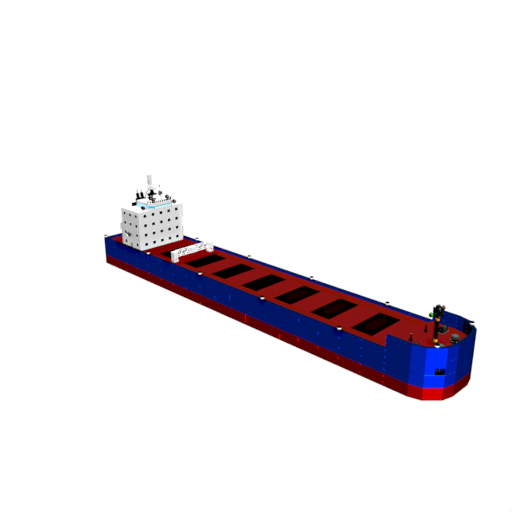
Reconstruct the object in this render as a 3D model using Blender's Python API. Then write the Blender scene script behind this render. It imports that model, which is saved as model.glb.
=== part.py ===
"""Bulk carrier, scale model 1:10: seven holds, travelling hatch-cover gantry, deckhouse aft.

Metres of the model, +X to the bow, +Y to port, +Z up. The origin is under the middle of the hull.
"""
import math

import bmesh
import bpy
from mathutils import Matrix, Vector

# Hull
LENGTH = 19.62
BEAM = 3.20
BOOT_TOP = 0.481          # the red paint ends here
DECK_UNDER = 1.265        # underside of the deck slab
DECK = 1.325
RAIL = 1.4386             # top of the bulwark
FORE_DECK = 1.4386        # the raised forecastle deck
FORECASTLE_RAIL = 1.95
FORECASTLE_X = 7.735      # the bulwark steps up here
BULWARK = 0.129           # bulwark thickness
GAP = 0.0003              # between pieces that touch
RUNNING = 0.005           # between pieces that move
OVERLAP = 0.01            # how deep joined shapes go into each other
CLEAR = 0.1               # how far a cutting shape stands out
BOW_FACETS = ((0.500, 15.0), (0.680, 45.0), (0.500, 75.0))   # length, degrees off the centre line

HALF_LENGTH = LENGTH / 2
HALF_BEAM = BEAM / 2
PLATE = 0.975             # length of one side plate, the station spacing of the ship

# Stern tunnel, rudder and propeller
TUNNEL_X = -8.95
TUNNEL_HALF = 0.42
SHAFT_Z = 0.245
PROPELLER_X = -9.13
PROPELLER_R = 0.19
HUB_FORE = 0.05           # from the middle of the propeller to the end of the stern tube
TUBE_R = 0.045
TUBE_ROOT_R = 0.07
BLADES = 4
BLADE_SLIM = 0.6
BLADE_STATIONS = ((0.02, 0.050, 60.0, 0.016), (0.08, 0.085, 48.0, 0.012), (0.14, 0.085, 34.0, 0.009),
                  (PROPELLER_R, 0.03, 26.0, 0.006))   # radius, half chord, pitch angle, thickness
RUDDER_X = -9.45
RUDDER_FORE = 0.10
RUDDER_AFT = 0.24
RUDDER_LOW = 0.045
RUDDER_HIGH = 0.445
RUDDER_THICK = 0.06
RUDDER_TAIL = 0.008
STOCK_R = 0.024

# The anchor pocket, in the forward half of the 45 degree facet
POCKET_WIDE = 0.332
POCKET_LOW = 0.96
POCKET_HIGH = 1.215
POCKET_DEEP = 0.16
SHANK_OUT = 0.09          # depths in the pocket, from the face of the bow
CROWN_DEPTH = (0.07, 0.12)
SHANK_HALF = 0.02
CROWN_HALF = 0.11
CROWN_HIGH = 0.04
FLUKE_HIGH = 0.11

# Hatches
HATCH_COUNT = 7
HATCH_FRONT = 6.75        # front edge of the foremost hatch
HATCH_STEP = 2 * PLATE
HATCH_LENGTH = 0.955
HATCH_HALF = 0.96
LEDGE = 0.03              # the hold is this much smaller than the hatch all round

# Deckhouse
HOUSE_FRONT = -6.865
HOUSE_AFT = -8.365
HOUSE_HALF = 1.34
HOUSE_TOP = 3.285
DOOR_X = -7.62            # middle of the side doors
DOOR_WIDTH = 0.10
DOOR_HEIGHT = 0.22
DOOR_THICK = 0.012
HINGE_R = 0.004
VENT_AFT = -7.91          # the box on each side wall
VENT_FORE = -7.61
VENT_LOW = 1.89
VENT_HIGH = 2.11
VENT_OUT = 0.06
DOOR_RECESS = 0.05
SILL = 0.02               # the doors stand this far over the deck

# Wheelhouse, which overhangs the front of the house
BRIDGE_FRONT = -6.636
BRIDGE_DEPTH = 1.197
BRIDGE_HALF = 0.742
BRIDGE_CHAMFER = 0.248
SILL_TOP = 3.395
GLASS_TOP = 3.519
GLASS_OUT = 0.002         # the panes stand this far inside the sill
GLASS_IN = 0.010
BRIDGE_POST_R = 0.015
BROW_TOP = 3.628
BRIDGE_ROOF = 3.648
ROOF_OVERHANG = 0.010

# Gantry
GANTRY_X = -4.41
GANTRY_HALF_X = 0.11
LEG_IN = 1.0
LEG_OUT = 1.222
FOOT_IN = 0.965           # the feet are wider towards the hatches
FOOT_TOP = DECK + 0.10
RAIL_Y = 1.11
RAIL_HALF = 0.012
RAIL_HIGH = 0.012
RAIL_AFT = -6.80
RAIL_FORE = 7.40
WHEEL_R = 0.032
WHEEL_HALF = 0.016
WHEEL_DX = 0.062
AXLE_R = 0.008
WHEEL_ROOM = 0.006
LEG_LOW = DECK + 0.008
LEG_TOP = DECK + 0.495
LEG_CAP = 0.012           # how far the top plates of the legs stand out
LEG_HOLE = 0.03
BEAM_LOW = DECK + 0.24
BEAM_TOP = DECK + 0.52
CHORD = 0.034
BRACE = 0.028
BAYS = 12
HOIST_HALF = 0.17         # half the width of the box in the middle of the beam

# Roof gear
MAST_X = -7.69
MAST_TOP = 4.93
MAST_FORK = 4.62          # below this the mast head is two legs
MAST_LEGS = 4.36
MAST_HEAD_R = 0.10
MAST_POLE_R = 0.022
MAST_SLOT = 0.034         # half the gap between the legs of its head
MAST_STEP = 4.0
MAST_FOOT = ((0.055, 0.0), (0.055, 0.03), (0.034, 0.05))
RADAR_X = -7.43
RADAR_Y = -0.07
RADAR_Z = 3.895
RADAR_HALF = 0.235
RADAR_BAR = 0.052
COLUMN = ((0.05, 0.0), (0.05, 0.02), (0.024, 0.04))       # radius, height: foot of the radar column
SCANNER = ((0.03, 0), (0.09, 0.02), (0.115, 0.055), (0.09, 0.10), (0.062, 0.13), (0.055, 0.235),
           (0.0, 0.245))
FUNNEL_X = -8.03
FUNNEL_HALF_X = 0.09
FUNNEL_SPAN = (-0.57, -0.14)
FUNNEL_TOP = 3.66
PIPE_X = -8.00
PIPE_Y = (-0.50, -0.25)
PIPE_LONG = 0.34
PIPE_LEAN = 17.0          # degrees aft
PIPE_R = 0.05
PIPE_WALL = 0.012
BOTTLE = ((0.04, -0.15), (0.065, -0.12), (0.065, -0.02), (0.05, -0.01), (0.05, 0.01), (0.065, 0.02),
          (0.065, 0.12), (0.04, 0.15))
BOTTLE_X = FUNNEL_X - 0.145
BOTTLE_Y = -0.655
BOTTLE_Z = HOUSE_TOP + 0.115
CRADLE = 0.035
LIGHTS = ((-7.0, -0.965, HOUSE_TOP), (-7.0, 0.965, HOUSE_TOP),
          (-6.865, -0.43, BRIDGE_ROOF), (-6.865, 0.43, BRIDGE_ROOF))
LIGHT_STAND = ((0.045, 0.0), (0.045, 0.02), (0.018, 0.03), (0.018, 0.10))
LIGHT_DRUM = ((0.045, -0.085), (0.075, -0.065), (0.085, -0.02), (0.085, 0.045), (0.070, 0.075),
              (0.06, 0.08))
LIGHT_Z = 0.15            # middle of the drum over the foot

# Masts and bow gear
FOREMAST_X = 8.705
FOREMAST_R = 0.052
FOREMAST_FOOT = ((0.115, 0.0), (0.115, 0.015), (0.072, 0.03), (0.068, 0.12), (FOREMAST_R, 0.135))
FOREMAST_HEAD = ((FOREMAST_R, 2.25), (0.056, 2.265), (0.074, 2.33), (0.074, 2.37), (0.06, 2.375),
                 (0.11, 2.41), (0.11, 2.75), (0.09, 2.80), (0.045, 2.81), (0.045, 2.85), (0.0, 2.86))
YARD_HALF = 0.411
YARD_SWEEP = 0.045
YARD_Z = 2.60
YARD_BAR = 0.035
SIDELIGHT = ((0.03, -0.06), (0.05, -0.045), (0.056, 0.0), (0.05, 0.05), (0.03, 0.07))
FLOOD = ((0.035, 0.05), (0.048, 0.10), (0.056, 0.165), (0.042, 0.172))   # radius, reach from the mast
FLOOD_TIERS = ((2.47, 45.0), (2.60, 0.0), (2.72, 45.0))                  # height, first bearing
WINDLASS_X = 8.455
WINDLASS_Y = 0.97
WINDLASS_HALF = 0.16      # half the length between the cheeks
WINDLASS_Z = FORE_DECK + 0.13
WINDLASS_BED = (0.12, 0.22, 0.018)        # half length, half width, thickness
DRUM_RIM = 0.10
DRUM_CORE = 0.07
RIM_WIDE = 0.02
CHEEK_HALF = 0.02
CHEEK_HALF_X = 0.05
SPINDLE_R = 0.02
CAPSTAN_X = 9.17
CAPSTAN_Y = 0.51
CAPSTAN = ((0.162, 0.0), (0.162, 0.045), (0.14, 0.07), (0.105, 0.085), (0.105, 0.12), (0.128, 0.13),
           (0.128, 0.235), (0.11, 0.26), (0.0, 0.262))
POST_X = 8.04
POST_Y = 0.495
POST = ((0.057, 0.0), (0.057, 0.055), (0.045, 0.075), (0.014, 0.085), (0.014, 0.15), (0.024, 0.16),
        (0.024, 0.26), (0.014, 0.28), (0.0, 0.29))
LAMP_X = (-5.945, -2.055, 1.837, 5.729)   # lamps on each side rail
RAIL_LAMP = ((0.040, -0.01), (0.040, 0.012), (0.055, 0.032), (0.062, 0.060), (0.055, 0.088),
             (0.060, 0.094), (0.045, 0.114), (0.0, 0.122))

# Paint: red, green, blue, roughness, metallic
PAINTS = {
    "hull_red": (0.13, 0.0, 0.0, 0.55, 0.0),
    "hull_blue": (0.0, 0.02, 0.42, 0.5, 0.0),
    "deck_red": (0.30, 0.01, 0.0, 0.7, 0.0),
    "cover_black": (0.012, 0.010, 0.010, 0.6, 0.0),
    "white": (0.83, 0.84, 0.84, 0.45, 0.0),
    "black": (0.012, 0.012, 0.014, 0.5, 0.0),
    "glass_cyan": (0.25, 0.72, 0.86, 0.1, 0.0),
    "bronze": (0.62, 0.40, 0.10, 0.35, 0.9),
    "steel": (0.36, 0.38, 0.38, 0.4, 0.8),
    "brown": (0.16, 0.07, 0.03, 0.5, 0.0),
}


def clear_scene():
    for old in list(bpy.data.objects):
        bpy.data.objects.remove(old, do_unlink=True)


def paint(name):
    material = bpy.data.materials.get(name)
    if material is None:
        red, green, blue, roughness, metallic = PAINTS[name]
        material = bpy.data.materials.new(name)
        material.use_nodes = True
        shader = material.node_tree.nodes["Principled BSDF"]
        shader.inputs["Base Color"].default_value = (red, green, blue, 1.0)
        shader.inputs["Roughness"].default_value = roughness
        shader.inputs["Metallic"].default_value = metallic
        material.diffuse_color = (red, green, blue, 1.0)
    return material


def add(name, mesh_data, colour, origin=(0, 0, 0), smooth=None):
    """Make an object from a bmesh that is in world metres; its origin goes to the given point."""
    bmesh.ops.recalc_face_normals(mesh_data, faces=mesh_data.faces)
    bmesh.ops.translate(mesh_data, verts=mesh_data.verts, vec=-Vector(origin))
    mesh = bpy.data.meshes.new(name)
    mesh_data.to_mesh(mesh)
    mesh_data.free()
    mesh.materials.append(paint(colour))
    if smooth is not None:
        mesh.shade_smooth()
        mesh.set_sharp_from_angle(angle=math.radians(smooth))
    thing = bpy.data.objects.new(name, mesh)
    thing.location = origin
    bpy.context.scene.collection.objects.link(thing)
    return thing


# Shapes, each a closed bmesh in world metres

def prism(outline, low, high):
    """A vertical prism on a plan outline of (x, y) points."""
    shape = bmesh.new()
    face = shape.faces.new([shape.verts.new((x, y, low)) for x, y in outline])
    rim = bmesh.ops.extrude_face_region(shape, geom=[face])
    top = [part for part in rim["geom"] if isinstance(part, bmesh.types.BMVert)]
    bmesh.ops.translate(shape, verts=top, vec=(0, 0, high - low))
    return shape


def block(x0, x1, y0, y1, z0, z1):
    return prism(((x0, y0), (x1, y0), (x1, y1), (x0, y1)), z0, z1)


def turned(profile, centre, axis="Z", sides=16):
    """A solid of revolution; profile is (radius, height) points from one end to the other."""
    shape = bmesh.new()
    rings = []
    for radius, height in profile:
        if radius < 1e-6:
            rings.append([shape.verts.new((0, 0, height))])
        else:
            ring = []
            for k in range(sides):
                angle = 2 * math.pi * (k + 0.5) / sides
                ring.append(shape.verts.new((radius * math.cos(angle), radius * math.sin(angle), height)))
            rings.append(ring)
    for low, high in zip(rings, rings[1:]):
        for k in range(sides):
            n = (k + 1) % sides
            corners = [low[k % len(low)], low[n % len(low)], high[n % len(high)], high[k % len(high)]]
            shape.faces.new(list(dict.fromkeys(corners)))
    for ring in (rings[0], rings[-1]):
        if len(ring) > 1:
            shape.faces.new(ring)
    turns = {
        "Z": Matrix(),
        "X": Matrix.Rotation(math.pi / 2, 4, "Y"),
        "Y": Matrix.Rotation(-math.pi / 2, 4, "X"),
    }
    return moved(shape, Matrix.Translation(centre) @ turns[axis])


def moved(shape, matrix):
    bmesh.ops.transform(shape, matrix=matrix, verts=shape.verts)
    return shape


def raised(profile, height):
    """The same profile, moved up."""
    return [(radius, along + height) for radius, along in profile]


def span(sign, near, far):
    """The y range between two distances off the centre line, on the side that sign gives."""
    return sorted((sign * near, sign * far))


def square_bar(start, end, width):
    """A straight square bar between two points, one pair of its sides along X where it can be."""
    start, end = Vector(start), Vector(end)
    along = (end - start).normalized()
    side = Vector((1, 0, 0)) if abs(along.x) < 0.9 else Vector((0, 1, 0))
    side = (side - along * side.dot(along)).normalized() * width / 2
    up = along.cross(side)
    shape = bmesh.new()
    ends = []
    corners = ((1, 1), (-1, 1), (-1, -1), (1, -1))
    for point in (start, end):
        ends.append([shape.verts.new(point + a * side + b * up) for a, b in corners])
    for k in range(4):
        n = (k + 1) % 4
        shape.faces.new((ends[0][k], ends[0][n], ends[1][n], ends[1][k]))
    shape.faces.new(ends[0])
    shape.faces.new(ends[1])
    return shape


def cut_or_join(base, tools, operation):
    """Join tools to the object base, or cut them out of it, one exact Boolean each."""
    for tool in tools:
        helper = add(base.name + "_tool", tool, "black")
        change = base.modifiers.new("change", "BOOLEAN")
        change.operation = operation
        change.solver = "EXACT"
        change.object = helper
        state = base.evaluated_get(bpy.context.evaluated_depsgraph_get())
        mesh = bpy.data.meshes.new_from_object(state)
        base.modifiers.clear()
        old = base.data
        base.data = mesh
        bpy.data.meshes.remove(old)
        scrap = helper.data
        bpy.data.objects.remove(helper)
        bpy.data.meshes.remove(scrap)
    return base


def fuse(base, *tools):
    return cut_or_join(base, tools, "UNION")


def carve(base, *tools):
    return cut_or_join(base, tools, "DIFFERENCE")


# Plan of the hull

def hull_outline():
    """Plan corners, counter-clockwise from the starboard quarter."""
    x, y = 0.0, -HALF_BEAM
    starboard = [(x, y)]
    for length, angle in BOW_FACETS:
        x += length * math.cos(math.radians(angle))
        y += length * math.sin(math.radians(angle))
        starboard.append((x, y))
    shift = HALF_LENGTH - x
    starboard = [(-HALF_LENGTH, -HALF_BEAM)] + [(px + shift, py) for px, py in starboard]
    return starboard + [(px, -py) for px, py in reversed(starboard)]


def inset(outline, distance):
    """The same outline with each side moved in by a distance."""
    lines = []
    count = len(outline)
    for k in range(count):
        a, b = Vector(outline[k]), Vector(outline[(k + 1) % count])
        inward = Vector((-(b - a).y, (b - a).x)).normalized()
        lines.append((a + inward * distance, (b - a).normalized()))
    corners = []
    for k in range(count):
        (p, d), (q, e) = lines[k - 1], lines[k]
        t = ((q - p).x * e.y - (q - p).y * e.x) / (d.x * e.y - d.y * e.x)
        corners.append(tuple(p + d * t))
    return corners


def clip_aft(outline, x):
    """The part of the outline forward of x, where only the two long sides cross x."""
    kept = [point for point in outline if point[0] > x + 1e-6]
    return [(x, kept[0][1])] + kept + [(x, kept[-1][1])]


OUTLINE = hull_outline()
INNER = inset(OUTLINE, BULWARK)
SIDES = (("starboard", -1), ("port", 1))


def hatch_fronts():
    return [HATCH_FRONT - k * HATCH_STEP for k in range(HATCH_COUNT)]


def hold_spans():
    """Aft and fore wall of each hold, foremost first."""
    return [(front - HATCH_LENGTH + LEDGE, front - LEDGE) for front in hatch_fronts()]


def mirror_y(outline):
    return [(x, -y) for x, y in reversed(outline)]


# Hull

def make_hull():
    tail, nose = hold_spans()[-1][0], hold_spans()[0][1]
    hold_half = HATCH_HALF - LEDGE
    low, high = BOOT_TOP + GAP, DECK_UNDER
    bottom = add("hull_bottom", prism(clip_aft(OUTLINE, TUNNEL_X), 0, BOOT_TOP), "hull_red")
    tube = ((TUBE_R, PROPELLER_X + HUB_FORE - TUNNEL_X), (TUBE_R, -0.12), (TUBE_ROOT_R, 0),
            (TUBE_ROOT_R, 0.05))
    fuse(bottom, turned(tube, (TUNNEL_X, 0, SHAFT_Z), "X"))
    add("hull_stern", block(-HALF_LENGTH, tail - GAP, -HALF_BEAM, HALF_BEAM, low, high), "hull_blue")
    for side, sign in SIDES:
        skeg = block(-HALF_LENGTH, TUNNEL_X - GAP, *span(sign, TUNNEL_HALF, HALF_BEAM), 0, BOOT_TOP)
        add("skeg_" + side, skeg, "hull_red")
        wing = block(tail, nose, *span(sign, hold_half, HALF_BEAM), low, high)
        add("hull_side_" + side, wing, "hull_blue")
    spans = hold_spans()
    wall = hold_half - GAP
    for k in range(HATCH_COUNT - 1):
        cross = block(spans[k + 1][1], spans[k][0], -wall, wall, low, high)
        add(f"hull_cross_{k + 1}", cross, "hull_blue")
    bow = add("hull_bow", prism(clip_aft(OUTLINE, nose + GAP), low, high), "hull_blue")
    for side, sign in SIDES:
        pocket = block(-2 * OVERLAP, POCKET_DEEP, 0.0, POCKET_WIDE, POCKET_LOW, POCKET_HIGH)
        carve(bow, anchor_frame(sign)(pocket))


def anchor_frame(sign):
    """Turns a shape from pocket axes (inward, along the facet to the bow, up) to the ship's."""
    end = Vector(OUTLINE[3])
    start = Vector(OUTLINE[2])
    middle = (start + end) / 2
    along = (end - start).normalized()
    inward = Vector((-along.y, along.x))
    matrix = Matrix(((inward.x, along.x, 0, middle.x), (inward.y, along.y, 0, middle.y),
                     (0, 0, 1, 0), (0, 0, 0, 1)))
    if sign > 0:
        matrix = Matrix.Diagonal((1, -1, 1, 1)) @ matrix

    def place(shape):
        moved(shape, matrix)
        bmesh.ops.recalc_face_normals(shape, faces=shape.faces)
        return shape
    return place


def make_deck():
    """The two decks; the rails of the gantry are part of the main one."""
    plan = inset(OUTLINE, BULWARK + GAP)
    low = DECK_UNDER + GAP
    add("forecastle_deck", prism(clip_aft(plan, FORECASTLE_X), low, FORE_DECK), "deck_red")
    half = HALF_BEAM - BULWARK - GAP
    slab = block(plan[0][0], FORECASTLE_X - GAP, -half, half, low, DECK)
    deck = add("main_deck", slab, "deck_red")
    for front in hatch_fronts():
        hatch = block(front - HATCH_LENGTH, front, -HATCH_HALF, HATCH_HALF, DECK_UNDER - CLEAR, DECK + CLEAR)
        carve(deck, hatch)
    for side, sign in SIDES:
        across = span(sign, RAIL_Y - RAIL_HALF, RAIL_Y + RAIL_HALF)
        fuse(deck, block(RAIL_AFT, RAIL_FORE, *across, DECK - OVERLAP, DECK + RAIL_HIGH))


def rail_lamp(x, y, z):
    """A lamp: a short foot, a round glass and a flat cap."""
    return turned(RAIL_LAMP, (x, y, z), sides=10)


def make_bulwarks():
    low = DECK_UNDER + GAP
    lamp_y = HALF_BEAM - BULWARK / 2
    for side, sign in SIDES:
        across = span(sign, HALF_BEAM - BULWARK, HALF_BEAM)
        plate = block(-HALF_LENGTH + BULWARK + GAP, FORECASTLE_X - GAP, *across, low, RAIL)
        wall = add("bulwark_" + side, plate, "hull_blue")
        fuse(wall, *[rail_lamp(x, sign * lamp_y, RAIL) for x in LAMP_X])
        bend = ([(FORECASTLE_X, -HALF_BEAM)] + OUTLINE[1:5] + list(reversed(INNER[1:5]))
                + [(FORECASTLE_X, -HALF_BEAM + BULWARK)])
        if sign > 0:
            bend = mirror_y(bend)
        fore = add("forecastle_bulwark_" + side, prism(bend, low, FORECASTLE_RAIL), "hull_blue")
        middle = (Vector(OUTLINE[2]) + Vector(OUTLINE[3]) + Vector(INNER[2]) + Vector(INNER[3])) / 4
        fuse(fore, rail_lamp(middle.x, -sign * middle.y, FORECASTLE_RAIL))
    plate = block(-HALF_LENGTH, -HALF_LENGTH + BULWARK, -HALF_BEAM, HALF_BEAM, low, RAIL)
    stern = add("bulwark_stern", plate, "hull_blue")
    fuse(stern, *[rail_lamp(-HALF_LENGTH + BULWARK / 2, sign * lamp_y, RAIL) for side, sign in SIDES])
    outer, inner = OUTLINE[4], INNER[4]
    face = [
        (outer[0], outer[1] + GAP),
        (outer[0], -outer[1] - GAP),
        (inner[0], -inner[1] - GAP),
        (inner[0], inner[1] + GAP),
    ]
    add("forecastle_bulwark_front", prism(face, low, FORECASTLE_RAIL), "hull_blue")


def make_hatch_covers():
    low = DECK_UNDER + GAP
    half = HATCH_HALF - RUNNING
    for k, front in enumerate(hatch_fronts()):
        back = front - HATCH_LENGTH
        lid = block(back + RUNNING, front - RUNNING, -half, half, low, DECK)
        add(f"hatch_cover_{k + 1}", lid, "cover_black", origin=((front + back) / 2, 0, low))


# Gantry

def make_gantry():
    """Two legs on wheels, a braced beam between them and the box of the hoist in its middle."""
    front, back = GANTRY_X + GANTRY_HALF_X, GANTRY_X - GANTRY_HALF_X
    hoist = block(back + RUNNING, front - RUNNING, -HOIST_HALF, HOIST_HALF, BEAM_LOW - OVERLAP, LEG_TOP)
    frame = add("gantry_frame", hoist, "white", origin=(GANTRY_X, 0, LEG_LOW))
    low, high = BEAM_LOW + CHORD / 2, BEAM_TOP - CHORD / 2
    step = 2 * LEG_IN / BAYS
    for turn, x in enumerate((front - CHORD / 2, back + CHORD / 2)):
        for z in (low, high):
            fuse(frame, square_bar((x, -LEG_IN - OVERLAP, z), (x, LEG_IN + OVERLAP, z), CHORD))
        for k in range(BAYS):
            start = -LEG_IN + k * step
            if abs(start + step / 2) < HOIST_HALF / 2:
                continue
            ends = (low, high) if (k + turn) % 2 else (high, low)
            fuse(frame, square_bar((x, start, ends[0]), (x, start + step, ends[1]), BRACE))
    for side, sign in SIDES:
        fuse(frame, block(back, front, *span(sign, LEG_IN, LEG_OUT), LEG_LOW, LEG_TOP - OVERLAP))
        fuse(frame, block(back, front, *span(sign, FOOT_IN, LEG_IN + OVERLAP), LEG_LOW, FOOT_TOP))
        plate = span(sign, LEG_IN, LEG_OUT + LEG_CAP)
        fuse(frame, block(back - LEG_CAP, front + LEG_CAP, *plate, LEG_TOP - 2 * OVERLAP, LEG_TOP))
        groove = span(sign, RAIL_Y - RAIL_HALF - RUNNING, RAIL_Y + RAIL_HALF + RUNNING)
        over_rail = DECK + RAIL_HIGH + RUNNING
        carve(frame, block(back - CLEAR, front + CLEAR, *groove, LEG_LOW - CLEAR, over_rail))
    carve(frame, block(GANTRY_X - LEG_HOLE, GANTRY_X + LEG_HOLE, -HALF_BEAM, HALF_BEAM,
                       FOOT_TOP + OVERLAP, FOOT_TOP + OVERLAP + LEG_HOLE))
    stub = WHEEL_HALF + WHEEL_ROOM - GAP
    wheel = ((AXLE_R, -stub), (AXLE_R, -WHEEL_HALF), (WHEEL_R, -WHEEL_HALF), (WHEEL_R, WHEEL_HALF),
             (AXLE_R, WHEEL_HALF), (AXLE_R, stub))
    half, reach = WHEEL_HALF + WHEEL_ROOM, WHEEL_R + WHEEL_ROOM
    z = DECK + RAIL_HIGH + GAP + WHEEL_R
    places = [(GANTRY_X + end * WHEEL_DX, sign * RAIL_Y) for side, sign in SIDES for end in (1, -1)]
    for k, (x, y) in enumerate(places):
        carve(frame, block(x - reach, x + reach, y - half, y + half, LEG_LOW - CLEAR, z + reach))
        tyre = turned(wheel, (x, y, z), "Y", sides=20)
        add(f"gantry_wheel_{k + 1}", tyre, "black", origin=(x, y, z), smooth=40)


# Deckhouse

def make_house():
    body = block(HOUSE_AFT, HOUSE_FRONT, -HOUSE_HALF, HOUSE_HALF, DECK + GAP, HOUSE_TOP)
    house = add("accommodation", body, "white")
    low = DECK + SILL
    high = low + DOOR_HEIGHT + 2 * RUNNING
    hinge_x, latch_x = DOOR_X - DOOR_WIDTH / 2, DOOR_X + DOOR_WIDTH / 2
    for side, sign in SIDES:
        face = sign * HOUSE_HALF
        deep = span(sign, HOUSE_HALF - DOOR_RECESS, HOUSE_HALF + DOOR_RECESS)
        carve(house, block(hinge_x - RUNNING, latch_x + 1.5 * RUNNING, *deep, low, high))
        leaf = block(hinge_x, latch_x, *span(sign, HOUSE_HALF - DOOR_THICK, HOUSE_HALF),
                     low + RUNNING, high - RUNNING)
        door = add("door_" + side, leaf, "white", origin=(hinge_x, face, low + RUNNING))
        pin = ((HINGE_R, low + GAP), (HINGE_R, high - GAP))
        fuse(door, turned(pin, (hinge_x, face, 0), sides=8))
        vent = span(sign, HOUSE_HALF - OVERLAP, HOUSE_HALF + VENT_OUT)
        fuse(house, block(VENT_AFT, VENT_FORE, *vent, VENT_LOW, VENT_HIGH))


def bridge_plan(distance):
    """Plan of the wheelhouse, moved in by a distance."""
    front, back = BRIDGE_FRONT, BRIDGE_FRONT - BRIDGE_DEPTH
    half, chamfer = BRIDGE_HALF, BRIDGE_CHAMFER
    corners = [(back, -half), (front - chamfer, -half), (front, -half + chamfer),
               (front, half - chamfer), (front - chamfer, half), (back, half)]
    return inset(corners, distance)


def make_wheelhouse():
    base = add("wheelhouse_base", prism(bridge_plan(0), HOUSE_TOP + GAP, SILL_TOP), "white")
    post = ((BRIDGE_POST_R, SILL_TOP - OVERLAP), (BRIDGE_POST_R, GLASS_TOP))
    for x, y in bridge_plan(GLASS_IN + GAP + BRIDGE_POST_R):
        fuse(base, turned(post, (x, y, 0), sides=8))
    glass = add("wheelhouse_glass", prism(bridge_plan(GLASS_OUT), SILL_TOP + GAP, GLASS_TOP), "glass_cyan")
    carve(glass, prism(bridge_plan(GLASS_IN), SILL_TOP - CLEAR, GLASS_TOP + CLEAR))
    roof = add("wheelhouse_roof", prism(bridge_plan(0), GLASS_TOP + GAP, BROW_TOP), "white")
    fuse(roof, prism(bridge_plan(-ROOF_OVERHANG), BROW_TOP - OVERLAP / 2, BRIDGE_ROOF))


def make_main_mast():
    """A pole with a long round head whose lower part is split into two legs."""
    low = BRIDGE_ROOF + GAP
    crown = [(MAST_HEAD_R * math.cos(a), MAST_TOP - MAST_HEAD_R * (1 - math.sin(a)))
             for a in (0, math.pi / 6, math.pi / 3)]
    head = [(MAST_HEAD_R * 0.8, MAST_LEGS), (MAST_HEAD_R, MAST_LEGS + 0.02)] + crown + [(0.0, MAST_TOP)]
    mast = add("main_mast", turned(head, (MAST_X, 0, 0), sides=16), "white", smooth=35)
    slot = block(-CLEAR, CLEAR, -MAST_SLOT, MAST_SLOT, MAST_LEGS - CLEAR, MAST_FORK)
    turn = Matrix.Translation((MAST_X, 0, 0)) @ Matrix.Rotation(-math.pi / 4, 4, "Z")
    carve(mast, moved(slot, turn))
    pole = raised(MAST_FOOT, low) + [(MAST_POLE_R, MAST_STEP), (MAST_POLE_R, MAST_FORK + 2 * OVERLAP)]
    fuse(mast, turned(pole, (MAST_X, 0, 0), sides=12))


def make_radar():
    low = BRIDGE_ROOF + GAP
    column = raised(COLUMN, low) + [(COLUMN[-1][0], RADAR_Z - GAP)]
    add("radar_column", turned(column, (RADAR_X, RADAR_Y, 0), sides=10), "black")
    centre = (RADAR_X, RADAR_Y, RADAR_Z)
    scanner = add("radar_scanner", turned(SCANNER, centre, sides=12), "black", origin=centre)
    along = Vector((1, 1, 0)).normalized() * RADAR_HALF
    middle = Vector(centre) + Vector((0, 0, 0.01 + RADAR_BAR / 2))
    fuse(scanner, square_bar(middle - along, middle + along, RADAR_BAR))


def make_funnel():
    """The casing behind the wheelhouse with its two pipes, and the gas canister lashed to it."""
    low = HOUSE_TOP + GAP
    casing = block(FUNNEL_X - FUNNEL_HALF_X, FUNNEL_X + FUNNEL_HALF_X, *FUNNEL_SPAN, low, FUNNEL_TOP)
    funnel = add("exhausts", casing, "black")
    bore = PIPE_R - PIPE_WALL
    pipe = ((PIPE_R, 0), (PIPE_R, PIPE_LONG), (bore, PIPE_LONG), (bore, PIPE_LONG / 2))
    for y in PIPE_Y:
        turn = Matrix.Translation((PIPE_X, y, FUNNEL_TOP - PIPE_R))
        turn = turn @ Matrix.Rotation(-math.radians(PIPE_LEAN), 4, "Y")
        fuse(funnel, moved(turned(pipe, (0, 0, 0), sides=12), turn))
    half = BOTTLE[-1][1] - OVERLAP
    left, right = BOTTLE_Y - half, BOTTLE_Y + half
    cradle = block(BOTTLE_X - CRADLE, BOTTLE_X + CRADLE, left, right, low, BOTTLE_Z - CRADLE)
    strap = block(BOTTLE_X, FUNNEL_X, FUNNEL_SPAN[0] + RUNNING, right, low + 2 * OVERLAP, BOTTLE_Z)
    fuse(funnel, turned(BOTTLE, (BOTTLE_X, BOTTLE_Y, BOTTLE_Z), "Y", sides=12), cradle, strap)


def make_searchlights():
    for k, (x, y, z) in enumerate(LIGHTS):
        foot = z + GAP
        light = add(f"searchlight_{k + 1}", turned(LIGHT_STAND, (x, y, foot), sides=10), "brown")
        fuse(light, turned(LIGHT_DRUM, (x, y, foot + LIGHT_Z), "X", sides=14))


# Bow gear

def make_foremast():
    """A pole with the two sidelights on a yard and three tiers of flood lamps round its head."""
    low = FORE_DECK + GAP
    pole = turned(raised(FOREMAST_FOOT, low) + list(FOREMAST_HEAD), (FOREMAST_X, 0, 0), sides=14)
    mast = add("foremast", pole, "black", smooth=35)
    for side, sign in SIDES:
        tip = (FOREMAST_X - YARD_SWEEP, sign * YARD_HALF, YARD_Z)
        fuse(mast, square_bar((FOREMAST_X, 0, YARD_Z), tip, YARD_BAR), turned(SIDELIGHT, tip, sides=10))
    for height, first in FLOOD_TIERS:
        for k in range(4):
            turn = Matrix.Rotation(math.radians(first + 90 * k), 4, "Z")
            turn = Matrix.Translation((FOREMAST_X, 0, height)) @ turn
            fuse(mast, moved(turned(FLOOD, (0, 0, 0), "X", sides=8), turn))


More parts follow.
